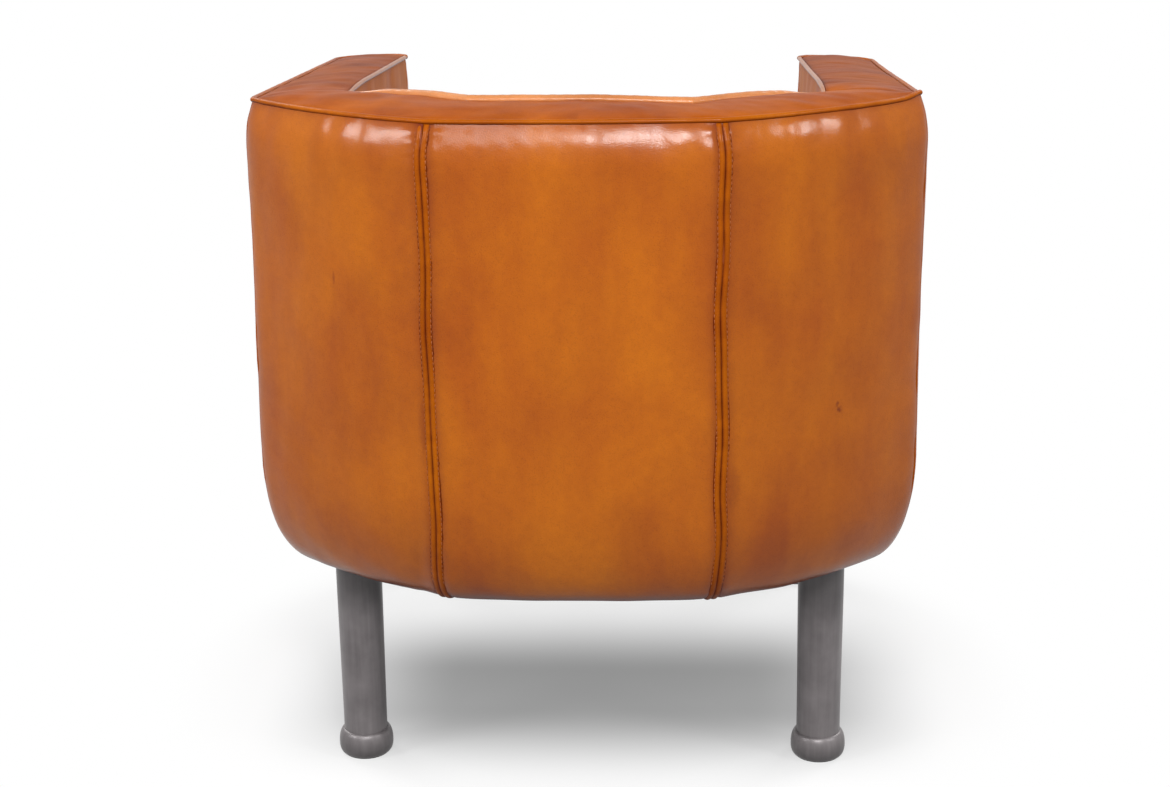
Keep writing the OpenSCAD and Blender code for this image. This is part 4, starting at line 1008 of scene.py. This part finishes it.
# Legs: tube radius, wall, narrowing, upper and lower end, places in plan, and the collars of the feet
legLook = dict(r=0.0245, wall=0.004, taper=0.0012, top=0.2365, glide=0.004, x=0.246, rear=0.2, front=-0.306,
               collarLow=0.001, collarHigh=0.0285, collarRim=0.0063, collarBore=0.0229)
allLegs = [(side * legLook["x"], legLook[row]) for side in (1, -1) for row in ("rear", "front")]

# Stretched cloths: the deck over the webbing, the dust cover, and the cushion's underside
cloths = dict(step=0.004, half=0.0005, legHole=0.0255, inset=0.001, deckFront=-0.333, deckZ=0.2990, deckSag=0.0002,
              dustZ=0.2329, dustSag=0.0012, dustFront=-0.3147, dustGap=0.0003, rimOut=0.0015, baseZ=0.3003)


def insideOf(points, outline):
    # Crossing rule, all points against all edges of the outline
    x, y = points[:, 0, None], points[:, 1, None]
    a, way = outline, np.roll(outline, -1, 0) - outline
    over = (a[None, :, 1] > y) != (np.roll(outline, -1, 0)[None, :, 1] > y)
    cross = a[None, :, 0] + (y - a[None, :, 1]) * way[None, :, 0] / np.where(way[:, 1] == 0, 1, way[:, 1])[None]
    return (over & (x < cross)).sum(1) % 2 == 1


def clothPiece(name, outline, heightAt, holes):
    # Grid cells wholly inside the outline and outside the round holes; the rim points move to the true edge
    low, high = outline.min(0), outline.max(0)
    nx, ny = (int((high[k] - low[k]) / cloths["step"]) + 3 for k in (0, 1))
    gx, gy = np.meshgrid(low[0] + cloths["step"] * (np.arange(nx) - 0.9),
                         low[1] + cloths["step"] * (np.arange(ny) - 0.9), indexing="ij")
    flat = np.stack([gx.ravel(), gy.ravel()], 1)
    edge = spacedAlong(outline, 0.02) if len(outline) > 60 else outline
    keep = np.concatenate([insideOf(block, edge) for block in np.array_split(flat, 40)])
    for cx, cy in holes:
        keep &= np.hypot(flat[:, 0] - cx, flat[:, 1] - cy) > cloths["legHole"]
    cells = quads(nx, ny)
    cells = cells[keep[cells].all(1)]
    used = np.unique(cells)
    number = np.full(len(flat), -1)
    number[used] = np.arange(len(used))
    cells, flat = number[cells], flat[used]
    sides = np.concatenate([cells[:, [0, 1]], cells[:, [1, 2]], cells[:, [2, 3]], cells[:, [3, 0]]])
    _, first, times = np.unique(np.sort(sides, 1), axis=0, return_index=True, return_counts=True)
    rim = sides[first[times == 1]]
    onRim = np.unique(rim)
    a = math.tau * np.arange(160) / 160
    ring = cloths["legHole"] * np.stack([np.cos(a), np.sin(a)], 1)
    fine = np.concatenate([spacedAlong(outline, 0.001)] + [ring + np.array(hole) for hole in holes])
    nearest = np.concatenate([np.linalg.norm(flat[b, None] - fine[None], axis=2).argmin(1)
                              for b in np.array_split(onRim, 20)])
    flat[onRim] = fine[nearest]
    z, n = heightAt(flat[:, 0], flat[:, 1]), len(flat)
    points = np.concatenate([np.column_stack([flat, z + k * cloths["half"]]) for k in (1, -1)])
    wall = np.stack([rim[:, 0], rim[:, 1], rim[:, 1] + n, rim[:, 0] + n], 1)
    return meshPiece(name, points, np.concatenate([cells, cells[:, ::-1] + n, wall]), merge=False)


def layCloth(name, body, outline, heightAt, replaced, holes=()):
    piece = clothPiece(name, outline, heightAt, holes)
    finishPiece(piece, body, "cloth", clothFinish, replaced)


def deckHeight(x, y):
    inside = smooth(0, 0.03, 0.24 - np.abs(x))
    return cloths["deckZ"] - cloths["deckSag"] * rumple(x, y, 141, 0.08) * inside


def dustHeight(x, y):
    far = np.hypot(x, y)
    waves = 0.0003 * rumple(x, y, 149, 0.1) * smooth(0, 0.1, 0.28 - far)
    return cloths["dustZ"] - cloths["dustSag"] * smooth(0, 0.2, 0.3 - far) + waves


def dustOutline():
    # The walls' lower edge inside their roll, then straight along the arms' inner sides
    rim, x = [], armInnerX - cloths["dustGap"]
    for k in (centrePlaces(spread(30)), sidePlaces(spread(40)[1:]),
              armPlaces((armStraight + armRound) * spread(120, 0.3)[1:])):
        rim.append(k["p"] + k["m"] * (k["puff"] - shell["rollIn"] * k["roll"] + cloths["rimOut"])[:, None]
                   + np.stack([k["lean"] * wallFall, 0 * k["lean"]], 1))
    rim = np.concatenate(rim)
    rim = rim[(rim[:, 0] > x) | (rim[:, 1] > armEndY)]
    return wholeOutline(np.concatenate([rim, [[x, armEndY], [x, cloths["dustFront"]]]]))


def layCloths():
    deck = seatSpace(cloths["deckFront"], cloths["inset"])
    layCloth("deckCloth", "chair", deck, deckHeight, "seat_deck")
    layCloth("dustCloth", "chair", dustOutline(), dustHeight, "dust_cover", allLegs)
    p, n = cushionOutline(300)
    base = p - n * (cushion["puff"] + shell["coverT"] + cloths["dustGap"])
    layCloth("cushionBase", "cushion", base, lambda x, y: cloths["baseZ"] + 0 * x, "cushion_base")


def turned(name, profile, centres, sides=96):
    # Closed ring of radius and height points, turned about each centre
    a = math.tau * np.arange(sides) / sides
    r, z = profile[:, 0], profile[:, 1]
    one = np.stack([r[:, None] * np.cos(a), r[:, None] * np.sin(a), z[:, None] + 0 * a[None]], 2)
    rows = len(profile)
    face = quads(rows, sides, closeRows=True, closeCols=True)
    points = np.concatenate([one.reshape(-1, 3) + np.array([cx, cy, 0]) for cx, cy in centres])
    faces = np.concatenate([face + i * rows * sides for i in range(len(centres))])
    return meshPiece(name, points, faces, merge=False)


def arcPoints(cx, cz, rx, rz, start, end, n):
    a = np.radians(np.linspace(start, end, n))
    return np.stack([cx + rx * np.cos(a), cz + rz * np.sin(a)], 1)


def legProfile():
    # The tube narrows slightly downwards
    r, w = legLook["r"], legLook["wall"]
    z = np.linspace(legLook["glide"], legLook["top"], 40)
    outside = np.stack([lerp(r - legLook["taper"], r - 0.0002, smooth(0.02, 0.22, z)), z], 1)
    inside = np.stack([np.full(40, r - w), z[::-1]], 1)
    return np.concatenate([outside, inside])


def footProfile():
    # Collar pressed round the tube: rolled lower edge, nearly straight side, rounded shoulder
    bore, rim, low, high = (legLook[k] for k in ("collarBore", "collarRim", "collarLow", "collarHigh"))
    lower = arcPoints(bore + rim * 0.25, low + 0.010, rim * 0.75, 0.010, -90, 0, 12)
    upper = arcPoints(bore, high - 0.015, rim, 0.015, 0, 90, 18)
    return np.concatenate([[[bore, low]], lower, upper, [[bore, high]]])


def greyTone(tree, value):
    return addNode(tree, "ShaderNodeCombineColor", {0: value, 1: value, 2: value}).outputs[0]


def paintedSteel(name):
    # Warm grey metallic paint: slight vertical streaks, soft orange peel, and painted shade near the shell above and
    # the floor below
    material, tree, shader = newMaterial(name, {"Metallic": 0.35, "Coat Weight": 0.12, "Coat Roughness": 0.34})
    place = objectSpace(tree)
    streaks = noiseNode(tree, vectorNode(tree, "MULTIPLY", place, (1.0, 1.0, 0.06)), 210.0, 5.0)
    clouds, flakes = noiseNode(tree, place, 28.0, 4.0), noiseNode(tree, place, 1500.0, 2.0)
    colour = ramp(tree, weighted(tree, streaks, 0.35, clouds, 0.65),
                  [(0.34, (0.122, 0.109, 0.111)), (0.5, (0.162, 0.146, 0.149)), (0.68, (0.210, 0.191, 0.194))])
    height = addNode(tree, "ShaderNodeSeparateXYZ", {0: place}).outputs["Z"]
    # Painted shade: the shell's shadow on the legs' tops, and a darker lower edge of the collars
    paintedShade = mathNode(tree, "MULTIPLY", easeNode(tree, height, 0.150, 0.196, 1.0, 0.5),
                     easeNode(tree, height, 0.024, 0.001, 1.0, 0.5))
    relief = bumpNode(tree, weighted(tree, flakes, 0.35, streaks, 0.3), 0.25, 0.0002)
    feed(tree, shader.inputs, {"Base Color": mixColour(tree, 1.0, colour, greyTone(tree, paintedShade), "MULTIPLY"),
                               "Roughness": scaled(tree, clouds, 0.16, 0.34), "Normal": relief})
    return material


def plainFinish(name, light, dark, scale, roughness, relief=0.0003, metallic=0.0):
    # Two tones of noise with a fine relief of the same noise
    material, tree, shader = newMaterial(name, {"Metallic": metallic})
    noise = noiseNode(tree, objectSpace(tree), scale, 5.0, 0.6)
    feed(tree, shader.inputs, {"Base Color": ramp(tree, noise, [(0.35, dark), (0.65, light)]),
                               "Roughness": scaled(tree, noise, 0.15, roughness - 0.07),
                               "Normal": bumpNode(tree, noise, 0.5, relief)})
    return material


def wovenFinish(name, light, dark, threads):
    # Plain weave: two crossed waves of threads, warp over weft in turn
    material, tree, shader = newMaterial(name, {"Roughness": 0.85})
    place = objectSpace(tree)
    weave = mathNode(tree, "MAXIMUM", *(waveNode(tree, place, threads, 0.4, way) for way in "XY"))
    uneven = mathNode(tree, "ADD", noiseNode(tree, place, 60.0, 5.0), 0.45)
    tone = mathNode(tree, "MULTIPLY", weave, uneven, True)
    feed(tree, shader.inputs, {"Base Color": ramp(tree, tone, [(0.2, dark), (0.9, light)]),
                               "Normal": bumpNode(tree, weave, 0.6, 0.0004)})
    return material


steelPaint = paintedSteel("greySteelPaint")
for row in ("rear", "front"):
    for side, sign in (("Left", 1), ("Right", -1)):
        leg = turned("leg" + row.title() + side, legProfile(), [(sign * legLook["x"], legLook[row])])
        finishPiece(leg, "chair", "leg_paint", steelPaint, "leg_" + row + "_" + side.lower())
finishPiece(turned("footCollars", footProfile(), allLegs, 128), "chair", "leg_paint", steelPaint, "feet")
print("legs made")

foamFinish = plainFinish("foam", (0.86, 0.76, 0.52), (0.74, 0.62, 0.38), 320.0, 0.9, 0.0008)
zincFinish = plainFinish("zincPlate", (0.55, 0.56, 0.58), (0.40, 0.41, 0.43), 260.0, 0.32, 0.0001, metallic=1.0)
glideFinish = plainFinish("blackPlastic", (0.020, 0.020, 0.021), (0.010, 0.010, 0.010), 500.0, 0.5)
webFinish = wovenFinish("webbing", (0.16, 0.10, 0.06), (0.03, 0.018, 0.010), 160.0)
clothFinish = wovenFinish("blackCloth", (0.045, 0.043, 0.042), (0.012, 0.012, 0.012), 300.0)
layCloths()
print("cloths laid")


def woodFinish(name):
    # Planed beech: long grain bands bent by noise, short dark flecks
    material, tree, shader = newMaterial(name, {"Roughness": 0.6})
    v = objectSpace(tree, (0.35, 0.35, 1.0))
    grain = waveNode(tree, v, 22.0, 5.0, "Z", 3.0, 1.4)
    tone = weighted(tree, grain, 0.6, noiseNode(tree, v, 420.0, 3.0), 0.4)
    colour = ramp(tree, tone, [(0.25, (0.40, 0.23, 0.11)), (0.75, (0.66, 0.44, 0.25))])
    feed(tree, shader.inputs, {"Base Color": colour, "Normal": bumpNode(tree, tone, 0.4, 0.0003)})
    return material


nodeFinish = {"foam": foamFinish, "frame_wood": woodFinish("beech"), "webbing": webFinish, "cloth": clothFinish,
              "leg_paint": steelPaint, "screw_zinc": zincFinish, "glide_plastic": glideFinish}
for part in frame["record"]["subparts"]:
    finish = nodeFinish.get(part["material_slot"])
    if finish is not None:
        materials = nodes[part["node"]].data.materials
        materials.clear()
        materials.append(finish)


# Plain stage: a pale floor with a painted grey shadow under the chair, white for the rays that see it
# further out than clear. Across and along are where the painted shadow is full and where it ends
stageAndPaintedShadow = dict(half=9, lit=0.15, x=-0.01, y=0.045, across=(0.165, 0.404), along=(0.048, 0.244), depth=0.62,
                 share=0.28, clear=(0.36, 0.52), sky=0.06)


def seenRays(tree):
    # 1 for the rays that show the background: straight, mirrored or through glass
    path = tree.nodes.new("ShaderNodeLightPath")
    straight = mathNode(tree, "MAXIMUM", path.outputs["Is Camera Ray"], path.outputs["Is Glossy Ray"])
    return mathNode(tree, "MAXIMUM", straight, path.outputs["Is Transmission Ray"])


def whiteGlow(tree, kind, strength=1.0):
    return addNode(tree, kind, {"Color": (1, 1, 1, 1), "Strength": strength}).outputs[0]


def mixShader(tree, share, a, b):
    return addNode(tree, "ShaderNodeMixShader", {0: share, 1: a, 2: b}).outputs[0]


def diffuse(tree, colour):
    return addNode(tree, "ShaderNodeBsdfDiffuse", {"Color": colour}).outputs[0]


def buildStage():
    half, look = stageAndPaintedShadow["half"], stageAndPaintedShadow
    mesh = bpy.data.meshes.new("floor")
    mesh.from_pydata([(-half, -half, 0), (half, -half, 0), (half, half, 0), (-half, half, 0)], [], [(0, 1, 2, 3)])
    floor = bpy.data.objects.new("floor", mesh)
    bpy.context.scene.collection.objects.link(floor)
    material = bpy.data.materials.new("paleFloor")
    material.use_nodes = True
    tree = material.node_tree
    tree.nodes.clear()
    place = objectSpace(tree)
    axes = addNode(tree, "ShaderNodeSeparateXYZ", {0: place}).outputs
    # Painted shadow: a soft grey patch under the chair, darkest at its middle by depth
    away = [mathNode(tree, "ABSOLUTE", mathNode(tree, "SUBTRACT", axes[key.upper()], look[key])) for key in "xy"]
    dark = mathNode(tree, "MULTIPLY", *(easeNode(tree, value, *look[key], 1.0, 0.0)
                                        for value, key in zip(away, ("across", "along"))))
    tone = greyTone(tree, mathNode(tree, "SUBTRACT", 1.0, mathNode(tree, "MULTIPLY", dark, look["depth"])))
    glow = addNode(tree, "ShaderNodeEmission", {"Color": tone, "Strength": 1.0}).outputs[0]
    # Seen floor: 72 % glow and 28 % lit diffuse, both carrying the painted shadow; only the diffuse part takes the
    # cast shadow
    seen = mixShader(tree, look["share"], glow, diffuse(tree, tone))
    fade = easeNode(tree, lengthNode(tree, place), *look["clear"], 0.0, 1.0)
    shown = mixShader(tree, fade, seen, whiteGlow(tree, "ShaderNodeEmission"))
    final = mixShader(tree, seenRays(tree), diffuse(tree, (*[look["lit"]] * 3, 1)), shown)
    tree.links.new(final, tree.nodes.new("ShaderNodeOutputMaterial").inputs["Surface"])
    mesh.materials.append(material)


def buildSky():
    world = bpy.data.worlds.new("studio")
    bpy.context.scene.world = world
    world.use_nodes = True
    tree = world.node_tree
    tree.nodes.clear()
    dim, white = (whiteGlow(tree, "ShaderNodeBackground", strength) for strength in (stageAndPaintedShadow["sky"], 1.0))
    both = mixShader(tree, seenRays(tree), dim, white)
    tree.links.new(both, tree.nodes.new("ShaderNodeOutputWorld").inputs["Surface"])


def softLight(name, place, target, width, height, power):
    data = bpy.data.lights.new(name, "AREA")
    data.shape = "RECTANGLE"
    data.size, data.size_y = width, height
    data.energy = power
    lamp = bpy.data.objects.new(name, data)
    lamp.location = place
    lamp.rotation_euler = (Vector(target) - Vector(place)).to_track_quat("-Z", "Y").to_euler()
    bpy.context.scene.collection.objects.link(lamp)


# Place, target, width, height and power of each lamp
lamps = {"rearCentre": ((-0.20, 2.38, 1.84), (0, 0.35, 0.68), 0.46, 0.44, 24),
         "rearWide": ((0.05, 2.42, 1.98), (0, 0.35, 0.68), 1.9, 0.6, 34),
         "rearLeftSide": ((2.05, 1.26, 1.55), (0.15, 0.33, 0.68), 0.66, 0.52, 25),
         "rearRightSide": ((-2.14, 1.20, 1.62), (-0.15, 0.33, 0.68), 0.50, 0.34, 18),
         "frontLeftSide": ((1.9, -1.6, 2.3), (0, 0, 0.5), 1.2, 1.0, 32),
         "frontRightSide": ((-1.9, -1.6, 2.3), (0, 0, 0.5), 1.2, 1.0, 32)}
buildStage()
for name, lamp in lamps.items():
    softLight(name, *lamp)
buildSky()


# Camera where the photograph was taken from
view = dict(place=(-0.0964, 2.3492, 1.0719), focal=66.83, pitch=17.150, yaw=2.6136, roll=0.7597)


def placeCamera():
    pitch, yaw, roll = (math.radians(view[k]) for k in ("pitch", "yaw", "roll"))
    forward = Vector((math.sin(yaw) * math.cos(pitch), -math.cos(yaw) * math.cos(pitch), -math.sin(pitch)))
    level = Vector((-math.cos(yaw), -math.sin(yaw), 0))
    up = level.cross(forward)
    right = level * math.cos(roll) - up * math.sin(roll)
    top = up * math.cos(roll) + level * math.sin(roll)
    data = bpy.data.cameras.new("camera")
    data.lens, data.sensor_width, data.sensor_fit = view["focal"], 36.0, "HORIZONTAL"
    data.clip_start, data.clip_end = 0.05, 60
    camera = bpy.data.objects.new("camera", data)
    turn = Matrix((right, top, -forward)).transposed().to_4x4()
    camera.matrix_world = Matrix.Translation(view["place"]) @ turn
    bpy.context.scene.collection.objects.link(camera)
    bpy.context.scene.camera = camera


placeCamera()
bpy.context.scene.view_settings.view_transform = "Standard"
print("stage, lights and camera set")
